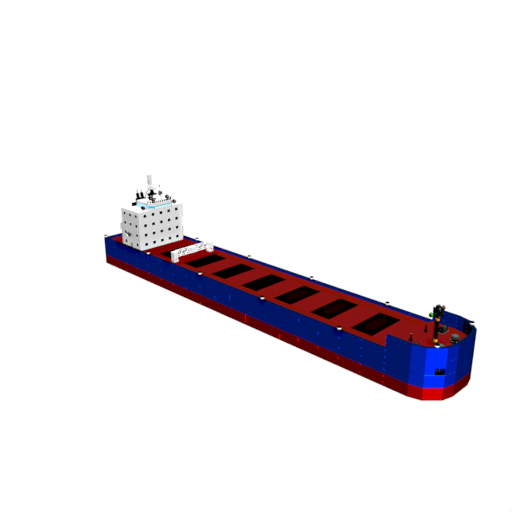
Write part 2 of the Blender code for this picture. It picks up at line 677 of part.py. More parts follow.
def make_windlass(side, sign):
    low = FORE_DECK + GAP
    y = sign * WINDLASS_Y
    half_x, half_y, thick = WINDLASS_BED
    bed = block(WINDLASS_X - half_x, WINDLASS_X + half_x, y - half_y, y + half_y, low, low + thick)
    base = add("windlass_base_" + side, bed, "black")
    for end in (-1, 1):
        cheek = y + end * (WINDLASS_HALF + CHEEK_HALF + 2 * RUNNING)
        fuse(base, block(WINDLASS_X - CHEEK_HALF_X, WINDLASS_X + CHEEK_HALF_X, cheek - CHEEK_HALF,
                         cheek + CHEEK_HALF, low + OVERLAP, WINDLASS_Z - SPINDLE_R - GAP))
    spindle = WINDLASS_HALF + 2 * (CHEEK_HALF + RUNNING)
    profile = [(SPINDLE_R, -spindle), (SPINDLE_R, -WINDLASS_HALF)]
    for middle in (-WINDLASS_HALF + RIM_WIDE / 2, 0.0, WINDLASS_HALF - RIM_WIDE / 2):
        aft, fore = middle - RIM_WIDE / 2, middle + RIM_WIDE / 2
        profile += [(DRUM_CORE, aft), (DRUM_RIM, aft), (DRUM_RIM, fore), (DRUM_CORE, fore)]
    profile = [point for k, point in enumerate(profile) if k not in (2, len(profile) - 1)]
    profile += [(SPINDLE_R, WINDLASS_HALF), (SPINDLE_R, spindle)]
    centre = (WINDLASS_X, y, WINDLASS_Z)
    drum = turned(profile, centre, "Y", sides=16)
    add("windlass_drum_" + side, drum, "steel", origin=centre, smooth=35)


def make_bow_gear():
    low = FORE_DECK + GAP
    for side, sign in SIDES:
        make_windlass(side, sign)
        centre = (CAPSTAN_X, sign * CAPSTAN_Y, low)
        add("capstan_" + side, turned(CAPSTAN, centre, sides=18), "bronze", origin=centre, smooth=35)
        post = turned(POST, (POST_X, sign * POST_Y, low), sides=12)
        add("bow_post_" + side, post, "black", smooth=35)
        make_anchor(side, sign)


def make_anchor(side, sign):
    """A stockless anchor hung against the back wall of its pocket."""
    place = anchor_frame(sign)
    middle = POCKET_WIDE / 2
    low, high = POCKET_LOW + 2 * OVERLAP, POCKET_HIGH - 2 * OVERLAP
    shank = block(SHANK_OUT, POCKET_DEEP - GAP, middle - SHANK_HALF, middle + SHANK_HALF, low, high)
    anchor = add("anchor_" + side, place(shank), "bronze")
    near, far = CROWN_DEPTH
    crown = block(near, far, middle - CROWN_HALF, middle + CROWN_HALF, low - OVERLAP, low + CROWN_HIGH)
    fuse(anchor, place(crown))
    for end in (-1, 1):
        tip = middle + end * (CROWN_HALF - SHANK_HALF)
        left, right = tip - SHANK_HALF + GAP, tip + SHANK_HALF - GAP
        fuse(anchor, place(block(near + GAP, far - GAP, left, right, low, low + FLUKE_HIGH)))


# Stern gear

def blade(turn):
    """One propeller blade: a twisted plate, thick at the root."""
    shape = bmesh.new()
    rings = []
    for radius, half, pitch, thick in BLADE_STATIONS:
        angle = math.radians(pitch)
        chord = Vector((math.sin(angle), math.cos(angle), 0)) * half * BLADE_SLIM
        normal = Vector((math.cos(angle), -math.sin(angle), 0)) * thick / 2
        centre = Vector((0, 0, radius))
        rings.append([shape.verts.new(centre + a * chord + b * normal)
                      for a, b in ((1, 0.4), (0, 1), (-1, 0.4), (-1, -0.4), (0, -1), (1, -0.4))])
    for low, high in zip(rings, rings[1:]):
        for k in range(6):
            n = (k + 1) % 6
            shape.faces.new((low[k], low[n], high[n], high[k]))
    shape.faces.new(rings[0])
    shape.faces.new(rings[-1])
    moved(shape, Matrix.Translation((PROPELLER_X, 0, SHAFT_Z)) @ Matrix.Rotation(turn, 4, "X"))
    bmesh.ops.recalc_face_normals(shape, faces=shape.faces)
    return shape


def make_stern_gear():
    hub = ((0.0, -0.085), (0.025, -0.075), (0.04, -0.04), (0.042, 0.0), (0.042, HUB_FORE - GAP))
    centre = (PROPELLER_X, 0, SHAFT_Z)
    screw = add("propeller", turned(hub, centre, "X", sides=16), "bronze", origin=centre, smooth=40)
    for k in range(BLADES):
        fuse(screw, blade(2 * math.pi * k / BLADES))
    aft, fore = RUDDER_X - RUDDER_AFT, RUDDER_X + RUDDER_FORE
    shoulder = RUDDER_X + RUDDER_FORE * 0.7
    port = [(shoulder, RUDDER_THICK * 0.4), (RUDDER_X, RUDDER_THICK / 2), (aft, RUDDER_TAIL / 2)]
    plan = [(fore, 0)] + port + mirror_y(port)
    plate = prism(plan, RUDDER_LOW, RUDDER_HIGH)
    rudder = add("rudder", plate, "hull_red", origin=(RUDDER_X, 0, RUDDER_HIGH))
    stock = ((STOCK_R, RUDDER_HIGH - 2 * OVERLAP), (STOCK_R, BOOT_TOP))
    fuse(rudder, turned(stock, (RUDDER_X, 0, 0), sides=12))


def main():
    clear_scene()
    make_hull()
    make_deck()
    make_bulwarks()
    make_hatch_covers()
    make_gantry()
    make_house()
    make_wheelhouse()
    make_main_mast()
    make_radar()
    make_funnel()
    make_searchlights()
    make_foremast()
    make_bow_gear()
    make_stern_gear()


main()
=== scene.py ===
"""Looks of the bulk carrier model: paint, glass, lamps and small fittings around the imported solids.

Metres of the model, +X to the bow, +Y to port, +Z up, the same frame as the solids.
"""
import itertools
import math
from functools import partial, partialmethod, reduce

import bmesh
import bpy
from mathutils import Matrix, Vector


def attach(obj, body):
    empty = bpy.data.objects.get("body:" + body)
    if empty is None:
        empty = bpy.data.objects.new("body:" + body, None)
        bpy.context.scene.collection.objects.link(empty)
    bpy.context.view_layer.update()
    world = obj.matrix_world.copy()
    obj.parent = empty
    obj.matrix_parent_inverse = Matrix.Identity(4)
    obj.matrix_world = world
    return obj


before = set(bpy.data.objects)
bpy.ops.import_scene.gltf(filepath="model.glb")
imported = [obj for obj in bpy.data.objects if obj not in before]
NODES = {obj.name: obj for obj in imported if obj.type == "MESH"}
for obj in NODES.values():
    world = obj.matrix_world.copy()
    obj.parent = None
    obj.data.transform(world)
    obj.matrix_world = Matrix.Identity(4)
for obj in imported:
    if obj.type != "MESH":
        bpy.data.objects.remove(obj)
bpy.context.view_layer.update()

# Sizes of the solids that the looks go by
HALF_LENGTH, HALF_BEAM = 9.81, 1.60
BULWARK = 0.129                     # thickness
DECK = 1.325                        # heights of decks and bulwarks
RAIL = FORE_DECK = 1.4386
FORE_RAIL = 1.95
PLATE, PLATE_START = 0.975, 8.717   # length of a side plate, place of the foremost joint
LAMP_STEP, LAMP_FIRST = 3.892, -5.945
HATCH_FRONT, HATCH_STEP, HATCH_LENGTH = 6.75, 1.95, 0.955
HOUSE_FRONT, HOUSE_AFT, HOUSE_HALF, HOUSE_TOP = -6.865, -8.365, 1.34, 3.285
WINDOW_STEP = 0.4875                # between the middles of the deckhouse's windows, up and along
BRIDGE_FRONT, BRIDGE_AFT, BRIDGE_HALF = -6.636, -7.833, 0.742
BRIDGE_CHAMFER, BRIDGE_ROOF = 0.248, 3.648
MAST_X = -7.69
GANTRY_X = -4.41
LEG_Y, LEG_FACE = 1.11, 1.222       # middle and outer face of the gantry's legs
FOREMAST_X = 8.705
YARD_HALF, YARD_BACK, YARD_Z = 0.411, 0.045, 2.60
FLOOD_TIERS = ((2.47, 45.0), (2.60, 0.0), (2.72, 45.0))     # height, turn of the first lamp
SEARCHLIGHT_Z = 0.1503              # middle of a searchlight over its roof
GAP = 0.0003                        # between solids that rest on each other
SIDES = (("starboard", -1), ("port", 1))

# How much light each kind of face gets from the studio lights
SIDE_LIGHT, FRONT_LIGHT, TOP_LIGHT = 0.66, 0.96, 1.50
BOW_LIGHTS = (0.83, 1.04, 1.06)     # bow plates at 15, 45 and 75 degrees
AMBIENT = 0.25                      # sky and floor, as the model sees them
SKY_SEEN = 1.05                     # sky, as the camera sees it


# Node trees

def rgb(red, green, blue, light=1.0):
    """The paint that is seen as this screen colour, 0 to 255, on a face that gets so much light."""
    def linear(value):
        value /= 255
        return value / 12.92 if value <= 0.04045 else ((value + 0.055) / 1.055) ** 2.4
    return tuple(min(1.0, linear(value) / light) for value in (red, green, blue)) + (1.0,)


on_side = partial(rgb, light=SIDE_LIGHT)
on_front = partial(rgb, light=FRONT_LIGHT)
on_top = partial(rgb, light=TOP_LIGHT)


def on_bow(*colours):
    """Screen colours of the bow plates at 15, 45 and 75 degrees."""
    return tuple(rgb(*colour, light) for colour, light in zip(colours, BOW_LIGHTS))


class Paint:
    """One material and a short way to wire its nodes."""

    def __init__(self, name, roughness=0.5, metallic=0.0, gloss=0.05):
        self.material = bpy.data.materials.new(name)
        self.material.use_nodes = True
        self.tree = self.material.node_tree
        self.shader = self.tree.nodes["Principled BSDF"]
        for socket, value in (("Roughness", roughness), ("Metallic", metallic),
                              ("Specular IOR Level", gloss)):
            self.shader.inputs[socket].default_value = value
        self.place = self.node("TexCoord").outputs["Object"]
        self.x, self.y, self.z = self.node("SeparateXYZ", self.place).outputs
        facing = self.node("NewGeometry").outputs["True Normal"]
        self.nx, self.ny, self.nz = self.node("SeparateXYZ", facing).outputs
        self.tone = None

    def put(self, socket, value):
        if isinstance(value, bpy.types.NodeSocket):
            self.tree.links.new(value, socket)
        else:
            socket.default_value = value

    def node(self, kind, *values, **settings):
        """A new node with its settings and its first inputs."""
        node = self.tree.nodes.new("ShaderNode" + kind)
        for name, value in settings.items():
            setattr(node, name, value)
        for socket, value in zip(node.inputs, values):
            self.put(socket, value)
        return node

    def calc(self, operation, *values):
        return self.node("Math", *values, operation=operation).outputs[0]

    size = partialmethod(calc, "ABSOLUTE")
    above = partialmethod(calc, "GREATER_THAN")
    below = partialmethod(calc, "LESS_THAN")
    unless = partialmethod(calc, "SUBTRACT", 1.0)       # 1 where the mask is 0

    @property
    def wide(self):
        """Distance from the middle of the ship."""
        return self.size(self.y)

    @property
    def outwards(self):
        """1 on faces to the ship's outside, -1 on faces to its middle."""
        return self.both(self.ny, self.calc("SIGN", self.y))

    @property
    def corner(self):
        """0 on faces square to the ship, 0.5 on diagonal ones."""
        return self.size(self.both(self.nx, self.ny))

    def both(self, *values):
        """Product of masks."""
        return reduce(partial(self.calc, "MULTIPLY"), values)

    def either(self, *values):
        """Largest of masks."""
        return reduce(partial(self.calc, "MAXIMUM"), values)

    def ease(self, value, low, high):
        """0 below low, 1 above high, smooth between; low may be the larger."""
        return self.node("MapRange", value, low, high, interpolation_type="SMOOTHSTEP").outputs["Result"]

    def off(self, value, centre):
        """Distance along one axis from a centre."""
        return self.size(self.calc("SUBTRACT", value, centre))

    def line(self, value, centre, half):
        """1 on a line of the given half width, 0 off it."""
        return self.ease(self.off(value, centre), half * 1.3, half * 0.7)

    def mix(self, amount, first, second):
        node = self.node("Mix", amount, data_type="RGBA")
        self.put(node.inputs[6], first)
        self.put(node.inputs[7], second)
        return node.outputs[2]

    def over(self, colour, *masks):
        """Lays a colour over the tone where all masks are 1."""
        self.tone = self.mix(self.both(*masks), self.tone, colour)

    def cloud(self, amount, scale, stretch=(1, 1, 1)):
        self.tone = self.vary(self.tone, amount, scale, stretch)

    def noise(self, scale, detail=3.0, stretch=(1, 1, 1)):
        mapping = self.node("Mapping", self.place)
        mapping.inputs["Scale"].default_value = stretch
        node = self.node("TexNoise", mapping.outputs[0])
        node.inputs["Scale"].default_value = scale
        node.inputs["Detail"].default_value = detail
        return node.outputs["Fac"]

    def length(self, *parts):
        """Square root of the sum of the squares."""
        total = 0.0
        for part in parts:
            total = self.calc("MULTIPLY_ADD", part, part, total)
        return self.calc("SQRT", total)

    def box_distance(self, low_x, high_x, low_y, high_y):
        """Distance in plan to a box."""
        parts = []
        for value, low, high in ((self.x, low_x, high_x), (self.y, low_y, high_y)):
            beyond = self.calc("SUBTRACT", self.off(value, (low + high) / 2), (high - low) / 2)
            parts.append(self.calc("MAXIMUM", beyond, 0.0))
        return self.length(*parts)

    def repeat(self, value, step, start):
        """Distance to the nearest of the lines start + k * step."""
        return self.calc("PINGPONG", self.calc("SUBTRACT", value, start), step / 2)

    def rows(self, value, step, start, outer, inner):
        """1 within inner of the lines start + k * step, 0 beyond outer."""
        return self.ease(self.repeat(value, step, start), outer, inner)

    def vary(self, colour, amount, scale, stretch=(1, 1, 1)):
        """The colour with soft lighter and darker clouds."""
        cloud = self.calc("MULTIPLY_ADD", self.noise(scale, 4.0, stretch), 2 * amount, 1 - amount)
        colour = colour if isinstance(colour, bpy.types.NodeSocket) else colour[:3]
        node = self.node("VectorMath", colour, operation="SCALE")
        self.put(node.inputs["Scale"], cloud)
        return node.outputs[0]

    def bump(self, height, strength, distance):
        node = self.node("Bump")
        node.inputs["Strength"].default_value = strength
        node.inputs["Distance"].default_value = distance
        self.put(node.inputs["Height"], height)
        self.put(self.shader.inputs["Normal"], node.outputs[0])

    def grain(self, scale, strength, distance, grooves=None):
        """Bump of a fine noise, less the grooves where a mask of them is given."""
        height = self.noise(scale)
        if grooves is not None:
            height = self.calc("SUBTRACT", height, grooves)
        self.bump(height, strength, distance)

    def glow(self, strength):
        self.put(self.shader.inputs["Emission Color"], self.tone)
        self.shader.inputs["Emission Strength"].default_value = strength

    def done(self, *grain):
        """The finished material, with a grain where one is given."""
        if grain:
            self.grain(*grain)
        self.put(self.shader.inputs["Base Color"], self.tone)
        return self.material


# Hull paint with painted light and shade: the diagonal bow plates are painted the brightest and the sides the
# darkest

# Screen colours on each kind of face; the differences between them are painted light and shade
BLUE = {"side": on_side(0, 21, 102), "front": on_front(0, 19, 103),
        "bow": on_bow((0, 31, 166), (0, 44, 255), (0, 27, 163))}
RED = {"side": on_side(89, 0, 0), "front": on_front(88, 0, 0),
       "bow": on_bow((140, 0, 0), (210, 0, 0), (140, 0, 0))}
POCKET_ALONG = 5.971      # middle of the anchor pocket, measured along its bow plate
POCKET_FACE = 7.545       # how far out that bow plate stands
POCKET_HALF = 0.168
BOW_MIDDLE = 5.805        # upright joint of that bow plate
BOW_JOINTS = (0.957, 1.445)   # heights of the level joints round the bow
SEAM_BLUE = on_side(0, 8, 66)
WELD_BLUE = on_side(0, 54, 255)

# Bright weld marks up the joints between the side plates, from the bow: (height of one, spacing)
WELDS = ((5.00, 6.00), (1.39, 0.25), (1.41, 0.318), (1.145, 0.41), (0.98, 0.59), (1.20, 0.83), (0.13, 1.60),
         (1.90, 3.00), (0.31, 2.40), (0.95, 1.30), (0.65, 0.95), (0.85, 0.765), (1.135, 0.60), (1.43, 0.505),
         (1.365, 0.475), (1.30, 0.425), (1.225, 0.39), (1.17, 0.357), (1.43, 0.345))


def plate_light_and_shade(paint, tones):
    """Colour by the way a plate faces: painted light and shade."""
    turn = paint.corner
    steep = paint.ease(paint.nx, 0.75, 0.9)
    outer = paint.mix(steep, tones["bow"][0], tones["bow"][2])
    tone = paint.mix(paint.ease(turn, 0.03, 0.2), tones["side"], outer)
    tone = paint.mix(paint.ease(turn, 0.3, 0.45), tone, tones["bow"][1])
    return paint.mix(paint.ease(paint.nx, 0.97, 0.99), tone, tones["front"])


def lamp_painted_shade(paint, reach):
    """Mask of painted shade round the rail lamps on both sides: 1 close to them, 0 beyond reach."""
    along = paint.repeat(paint.x, LAMP_STEP, LAMP_FIRST)
    across = paint.off(paint.wide, HALF_BEAM - BULWARK / 2)
    up = paint.off(paint.z, RAIL)
    near = paint.ease(paint.length(along, across, up), reach, reach * 0.35)
    return paint.both(near, paint.ease(paint.size(paint.x), 6.3, 6.2))


def weld_marks(paint):
    """1 on the weld marks, which are longer where they are further apart."""
    total = 0.0
    for k, (height, spacing) in enumerate(WELDS):
        half = max(0.027, 0.08 * spacing)
        near = paint.below(paint.off(paint.x, PLATE_START - PLATE * k), 0.028)
        up = paint.repeat(paint.z, spacing, height)
        total = paint.either(total, paint.both(near, paint.below(up, half)))
    flat = paint.above(paint.size(paint.ny), 0.99)
    return paint.both(total, flat)


def plate_seams(paint, rows):
    """Thin lines where the plates meet: upright joints and the given heights."""
    upright = paint.rows(paint.x, PLATE, PLATE_START, 0.006, 0.002)
    return paint.either(upright, *(paint.line(paint.z, height, 0.003) for height in rows))


def house_shade(paint, from_z, to_z):
    """Mask of painted shade on the ship's sides beside the deckhouse and beside the gantry where it rests."""
    house_box = paint.box_distance(-8.30, -6.95, -1.2, 1.2)
    house = paint.both(paint.ease(house_box, 0.75, 0.35), paint.ease(paint.z, from_z, to_z))
    gantry_box = paint.box_distance(GANTRY_X - 0.09, GANTRY_X + 0.09, -1.3, 1.3)
    gantry = paint.both(paint.ease(gantry_box, 0.42, 0.2), paint.ease(paint.z, from_z + 0.07, to_z + 0.04))
    return paint.either(house, gantry)


def bow_plate_axes(paint):
    """Distances along the diagonal bow plate and at right angles out to it."""
    wide = paint.wide
    root = math.sqrt(0.5)
    return (paint.calc("MULTIPLY", paint.calc("SUBTRACT", paint.x, wide), root),
            paint.calc("MULTIPLY", paint.calc("ADD", paint.x, wide), root))


def bow_joints(paint):
    """Light lines along the level joints of the bow and a dark one up the middle of its diagonal plates."""
    along, _ = bow_plate_axes(paint)
    diagonal = paint.ease(paint.corner, 0.3, 0.45)
    bow = paint.ease(paint.nx, 0.2, 0.25)
    dashes = paint.either(diagonal, paint.line(paint.repeat(paint.y, 0.20, 0.02), 0.0, 0.045))
    low = paint.both(paint.line(paint.z, BOW_JOINTS[0], 0.018), bow, dashes)
    high = paint.both(paint.line(paint.z, BOW_JOINTS[1], 0.014), bow, dashes, paint.unless(diagonal))
    lines = {"side": on_side(0, 24, 118), "front": on_front(0, 36, 126),
             "bow": on_bow((0, 24, 140), (10, 96, 255), (1, 62, 210))}
    paint.over(plate_light_and_shade(paint, lines), paint.either(low, high))
    dots = paint.line(paint.repeat(paint.z, 0.19, 0.06), 0.0, 0.05)
    upright = paint.line(along, BOW_MIDDLE, 0.012)
    paint.over(rgb(0, 28, 190, BOW_LIGHTS[1]), upright, diagonal, dots, 0.6)


def anchor_pocket(paint):
    """Painted shade inside the anchor pockets: dark blue, and black on their floors."""
    along, out = bow_plate_axes(paint)
    inside = paint.below(paint.off(along, POCKET_ALONG), POCKET_HALF)
    deep = paint.mix(paint.ease(paint.z, 0.98, 1.08), rgb(0, 2, 4), rgb(0, 12, 66, 0.7))
    paint.over(deep, inside, paint.below(out, POCKET_FACE - 0.003))


def port_shade(paint, shade):
    """Painted shade: the steepest bow plate to port is darker."""
    paint.over(shade, paint.ease(paint.nx, 0.8, 0.9), paint.ease(paint.ny, 0.1, 0.2))


def blue_base(paint):
    """The plates of the blue hull with painted light and shade by the way they face, and faint clouds."""
    paint.tone = plate_light_and_shade(paint, BLUE)
    port_shade(paint, rgb(0, 15, 58, 0.84))
    paint.cloud(0.05, 1.3, (1, 1, 0.4))


def hull_blue(name, rail=False, bow=False):
    """Blue side plates; rail adds the inner side and top of a bulwark, bow the anchor pockets and joints."""
    paint = Paint(name, roughness=0.7, gloss=0.0)
    blue_base(paint)
    paint.cloud(0.03, 9.0, (0.3, 1, 2.5))
    seams = plate_seams(paint, (0.72, 0.96, 1.20))
    paint.over(SEAM_BLUE, seams, 0.3)
    # Painted shade in dark blue beside the deckhouse, the gantry and the rail lamps
    shade = paint.either(house_shade(paint, 1.05, 1.30), lamp_painted_shade(paint, 0.36))
    paint.over(on_side(0, 0, 96), shade)
    paint.over(WELD_BLUE, weld_marks(paint))
    if rail:
        # Inner side of a bulwark: painted lighter than the outer side, painted light for the light it misses,
        # and darker beside the deckhouse and the gantry, painted shade
        inner = paint.ease(paint.both(paint.ny, paint.ease(paint.y, 0.0, 0.1)), -0.7, -0.9)
        inner_tone = paint.mix(house_shade(paint, 1.0, 1.1), rgb(0, 23, 114, 0.53), rgb(0, 0, 116, 0.53))
        inner_tone = paint.mix(weld_marks(paint), inner_tone, WELD_BLUE)
        paint.over(inner_tone, inner)
        # Top of a bulwark: painted a darker blue than its sides, painted shade, and black beside the
        # deckhouse, the gantry and the rail lamps, painted shade, as is the upper edge of its sides there
        near = paint.either(house_shade(paint, 1.0, 1.1), lamp_painted_shade(paint, 0.3))
        top = paint.mix(near, on_top(0, 23, 71), rgb(0, 0, 0))
        paint.over(top, paint.ease(paint.nz, 0.7, 0.9))
        edge = paint.both(near, paint.ease(paint.z, 1.405, 1.42))
        paint.over(rgb(0, 0, 0), edge)
    if bow:
        bow_joints(paint)
        anchor_pocket(paint)
    hold = paint.both(paint.ease(paint.wide, 0.985, 0.975), paint.ease(paint.x, 7.0, 6.9),
                      paint.ease(paint.x, -6.2, -6.1), paint.ease(paint.z, 0.1, 0.2))
    rust = paint.vary(on_side(66, 34, 26), 0.35, 5.0, (1, 1, 0.3))
    paint.over(rust, hold)
    # A lighter blue towards the bottom of the blue plates
    lighter_part = paint.ease(paint.z, 0.52, 0.485)
    paint.over(on_side(0, 34, 130), lighter_part, 0.3)
    return paint.done(40.0, 0.25, 0.004, seams)


def fore_bulwark_blue():
    """The forecastle bulwark: its inner faces are painted lighter, painted light, and at the bow they are
    black, painted shade, with a few bright weld marks; its top is painted darker, painted shade.
    """
    paint = Paint("hull_blue_forecastle", roughness=0.7, gloss=0.0)
    blue_base(paint)
    bow_joints(paint)
    seams = plate_seams(paint, (1.68,))
    paint.over(SEAM_BLUE, seams, 0.3)
    paint.over(WELD_BLUE, weld_marks(paint))
    outwards = paint.outwards
    # Painted light: the inner faces are painted lighter for the light they miss
    paint.over(rgb(0, 21, 107, 0.56), paint.ease(outwards, -0.7, -0.9))
    # Painted shade: the inner faces at the bow are black
    black = paint.both(paint.ease(paint.nx, -0.2, -0.25), paint.ease(paint.x, 8.98, 9.02))
    paint.over(rgb(0, 1, 5), black)
    corner = paint.either(paint.line(paint.x, 8.70, 0.024), paint.line(paint.x, 9.14, 0.024))
    speck = paint.both(corner, paint.line(paint.repeat(paint.z, 0.158, 1.55), 0.0, 0.024),
                       paint.ease(outwards, 0.0, -0.1))
    paint.over(on_side(0, 60, 255), speck)
    # Painted shade: the top is a darker blue than the sides
    paint.over(on_top(0, 26, 76), paint.ease(paint.nz, 0.7, 0.9))
    return paint.done(40.0, 0.25, 0.003, seams)


def hull_red():
    """Red bottom paint with weld marks."""
    paint = Paint("hull_red", roughness=0.8, gloss=0.0)
    # Painted light and shade by the way each plate faces, and painted shade on the steepest bow plate to port
    paint.tone = plate_light_and_shade(paint, RED)
    port_shade(paint, rgb(54, 0, 0, 0.84))
    paint.cloud(0.05, 1.1, (1, 1, 0.5))
    paint.cloud(0.04, 12.0, (0.2, 1, 3))
    seams = plate_seams(paint, (0.24,))
    paint.over(on_side(50, 0, 0), seams, 0.3)
    paint.over(on_side(236, 0, 0), weld_marks(paint))
    return paint.done(55.0, 0.3, 0.004, seams)


def rudder_red():
    """The same red in one tone, because the rudder turns."""
    paint = Paint("rudder_red", roughness=0.8, gloss=0.0)
    paint.tone = paint.vary(on_side(89, 0, 0), 0.06, 3.0, (1, 1, 0.5))
    seams = paint.line(paint.z, 0.24, 0.003)
    paint.over(on_side(50, 0, 0), seams, 0.3)
    return paint.done(55.0, 0.3, 0.004, seams)


def deck_red():
    """Speckled deck paint with painted shade round the deckhouse, the gantry and the foremast."""
    paint = Paint("deck_red", roughness=0.9, gloss=0.0)
    speck = paint.above(paint.noise(38.0, 0.0), 0.56)
    middle = paint.mix(speck, on_top(138, 20, 19), on_top(133, 17, 17))
    paint.tone = paint.mix(paint.ease(paint.wide, 0.86, 1.16), middle, on_top(139, 20, 0))
    # Painted shade: darker red near the deckhouse, the gantry and the foot of the foremast, and darkest next
    # to the deckhouse
    near = paint.ease(paint.box_distance(-9.0, -4.1, -1.0, 1.0), 0.45, 0.05)
    house = paint.ease(paint.box_distance(HOUSE_AFT, HOUSE_FRONT, -HOUSE_HALF, HOUSE_HALF), 1.6, 0.2)
    mast = paint.length(paint.off(paint.x, FOREMAST_X), paint.y, paint.off(paint.z, FORE_DECK))
    near = paint.either(near, paint.ease(mast, 0.42, 0.16))
    paint.over(on_top(131, 1, 1), near)
    paint.over(on_top(112, 0, 0), house, 0.75)
    paint.cloud(0.04, 2.2)
    seams = paint.either(paint.rows(paint.y, 0.64, 0.0, 0.004, 0.001),
                         paint.rows(paint.x, PLATE, 6.27, 0.004, 0.001))
    paint.over(on_top(90, 6, 4), seams, 0.2)
    return paint.done(70.0, 0.3, 0.003, seams)


def cover_black():
    """Black hatch covers with a dark red painted highlight in the middle of the foremost ones."""
    paint = Paint("cover_black", roughness=0.9, gloss=0.0)
    # Painted highlight: dark red in the middle of each cover, fading towards its edges and towards the stern
    along = paint.repeat(paint.x, HATCH_STEP, HATCH_FRONT - HATCH_LENGTH / 2)
    radius = paint.length(along, paint.calc("MULTIPLY", paint.y, 0.42))
    lighter_part = paint.both(paint.ease(radius, 0.31, 0.20), paint.ease(paint.x, -0.6, 3.4))
    paint.tone = paint.mix(lighter_part, on_top(1, 0, 0), on_top(27, 0, 0))
    paint.cloud(0.25, 7.0)
    ribs = paint.rows(paint.y, 0.32, 0.0, 0.006, 0.002)
    return paint.done(60.0, 0.35, 0.004, ribs)


def house_white():
    """Deckhouse paint with painted light at its foot and a painted highlight along its upright corners, with
    dotted weld lines between the rows of windows.
    """
    paint = Paint("white_house", roughness=0.7, gloss=0.0)
    front = paint.ease(paint.nx, 0.8, 0.9)
    paint.tone = paint.mix(front, on_side(181, 182, 182), on_front(215, 218, 218))
    crest = paint.both(paint.ease(paint.z, 3.04, 3.20), paint.unless(front))
    paint.over(on_side(196, 197, 197), crest)
    # Painted light: the walls are lighter towards their foot
    low = paint.mix(front, on_side(201, 205, 202), on_front(226, 243, 242))
    paint.over(low, paint.ease(paint.z, 1.95, 1.40))
    paint.over((0.80, 0.80, 0.80, 1.0), paint.ease(paint.nz, 0.6, 0.9))
    paint.cloud(0.02, 1.6)
    dots = [paint.either(paint.rows(along, 0.13, 0.03, 0.030, 0.022), paint.above(paint.size(facing), 0.9))
            for along, facing in ((paint.y, paint.ny), (paint.x, paint.nx))]
    lines = paint.both(paint.rows(paint.z, WINDOW_STEP, 1.345, 0.016, 0.009), *dots,
                       paint.below(paint.nz, 0.5))
    bright = paint.mix(front, on_side(212, 213, 213), on_front(246, 247, 247))
    middle_row = paint.calc("MULTIPLY_ADD", paint.line(paint.z, 2.32, 0.1), 0.55, 0.25)
    paint.over(bright, lines, middle_row)
    paint.over(on_front(234, 236, 236), front, paint.ease(paint.y, 1.14, 1.20))
    streak = paint.ease(paint.noise(5.0, 4.0, (6, 6, 0.35)), 0.60, 0.80)
    paint.over(on_front(178, 172, 164), streak, 0.10)
    # Painted highlight: lighter paint along the upright corners
    corner_x = paint.either(paint.line(paint.x, HOUSE_FRONT, 0.02), paint.line(paint.x, HOUSE_AFT, 0.02))
    corner_y = paint.line(paint.wide, HOUSE_HALF, 0.02)
    edge = paint.both(corner_x, corner_y, 0.5)
    paint.over(on_side(214, 214, 214), edge)
    return paint.done(50.0, 0.15, 0.003, lines)


def white_paint(name, side, front, warm=0.0):
    """White paint given as it is seen on a side face and on a front face."""
    paint = Paint(name, roughness=0.7, gloss=0.0)
    cool = 1.0 - warm
    paint.tone = paint.mix(paint.ease(paint.nx, 0.2, 0.8), on_side(side, side * cool, side * cool),
                           on_front(front, front * cool, front * cool))
    paint.over((0.85, 0.85, 0.85, 1.0), paint.ease(paint.nz, 0.6, 0.9))
    paint.cloud(0.02, 6.0)
    speck = paint.ease(paint.noise(14.0, 4.0, (2, 2, 0.5)), 0.62, 0.80)
    paint.over(on_front(176, 170, 162), speck, 0.15)
    return paint.done(60.0, 0.15, 0.002)


def plain(name, colour, roughness=0.6, metallic=0.0, gloss=0.1, clouds=0.12, dirt=None):
    """Painted or bare metal with clouds in its colour and roughness, and grime in its grain."""
    paint = Paint(name, roughness, metallic, gloss)
    paint.tone = paint.vary(colour, clouds, 25.0)
    grime = dirt or tuple(part * 0.45 for part in colour[:3]) + (1.0,)
    paint.over(grime, paint.ease(paint.noise(75.0), 0.58, 0.75), 0.4)
    rough = paint.calc("MULTIPLY_ADD", paint.noise(17.5), 0.2, roughness - 0.1)
    paint.put(paint.shader.inputs["Roughness"], rough)
    return paint.done(100.0, 0.2, 0.001)


def wound_rope():
    """Grey turns of rope with painted shade, near black, in the gaps between them."""
    paint = Paint("wound_rope", roughness=0.6, gloss=0.05)
    step = 0.107
    wave = paint.rows(paint.y, step, 0.0, step * 0.18, step * 0.30)
    # Painted shade: near black in the gaps between the turns
    paint.tone = paint.vary(paint.mix(wave, on_front(64, 72, 68), rgb(2, 3, 3)), 0.15, 30.0)
    paint.bump(wave, 0.4, 0.004)
    return paint.done()


def foremast_paint():
    """Black with a brass sleeve over the foot flange and a brass collar under the lamps; the brass is painted
    brighter on faces towards the bow, painted light.
    """
    paint = Paint("foremast_black_and_brass", roughness=0.5, gloss=0.05)
    paint.tone = paint.vary(rgb(5, 5, 5), 0.3, 20.0)
    paint.over(on_top(14, 34, 4), paint.ease(paint.z, FORE_DECK + 0.044, FORE_DECK + 0.036))
    # Painted light: the brass is brighter on faces towards the bow
    facing = paint.ease(paint.nx, -0.3, 0.7)
    brass = paint.mix(facing, on_side(150, 108, 8), on_front(255, 165, 0))
    brass = paint.vary(brass, 0.12, 26.0)
    sleeve = paint.line(paint.z, 1.532, 0.044)
    collar = paint.line(paint.z, 2.330, 0.048)
    paint.over(brass, paint.either(sleeve, collar))
    return paint.done(70.0, 0.2, 0.001)


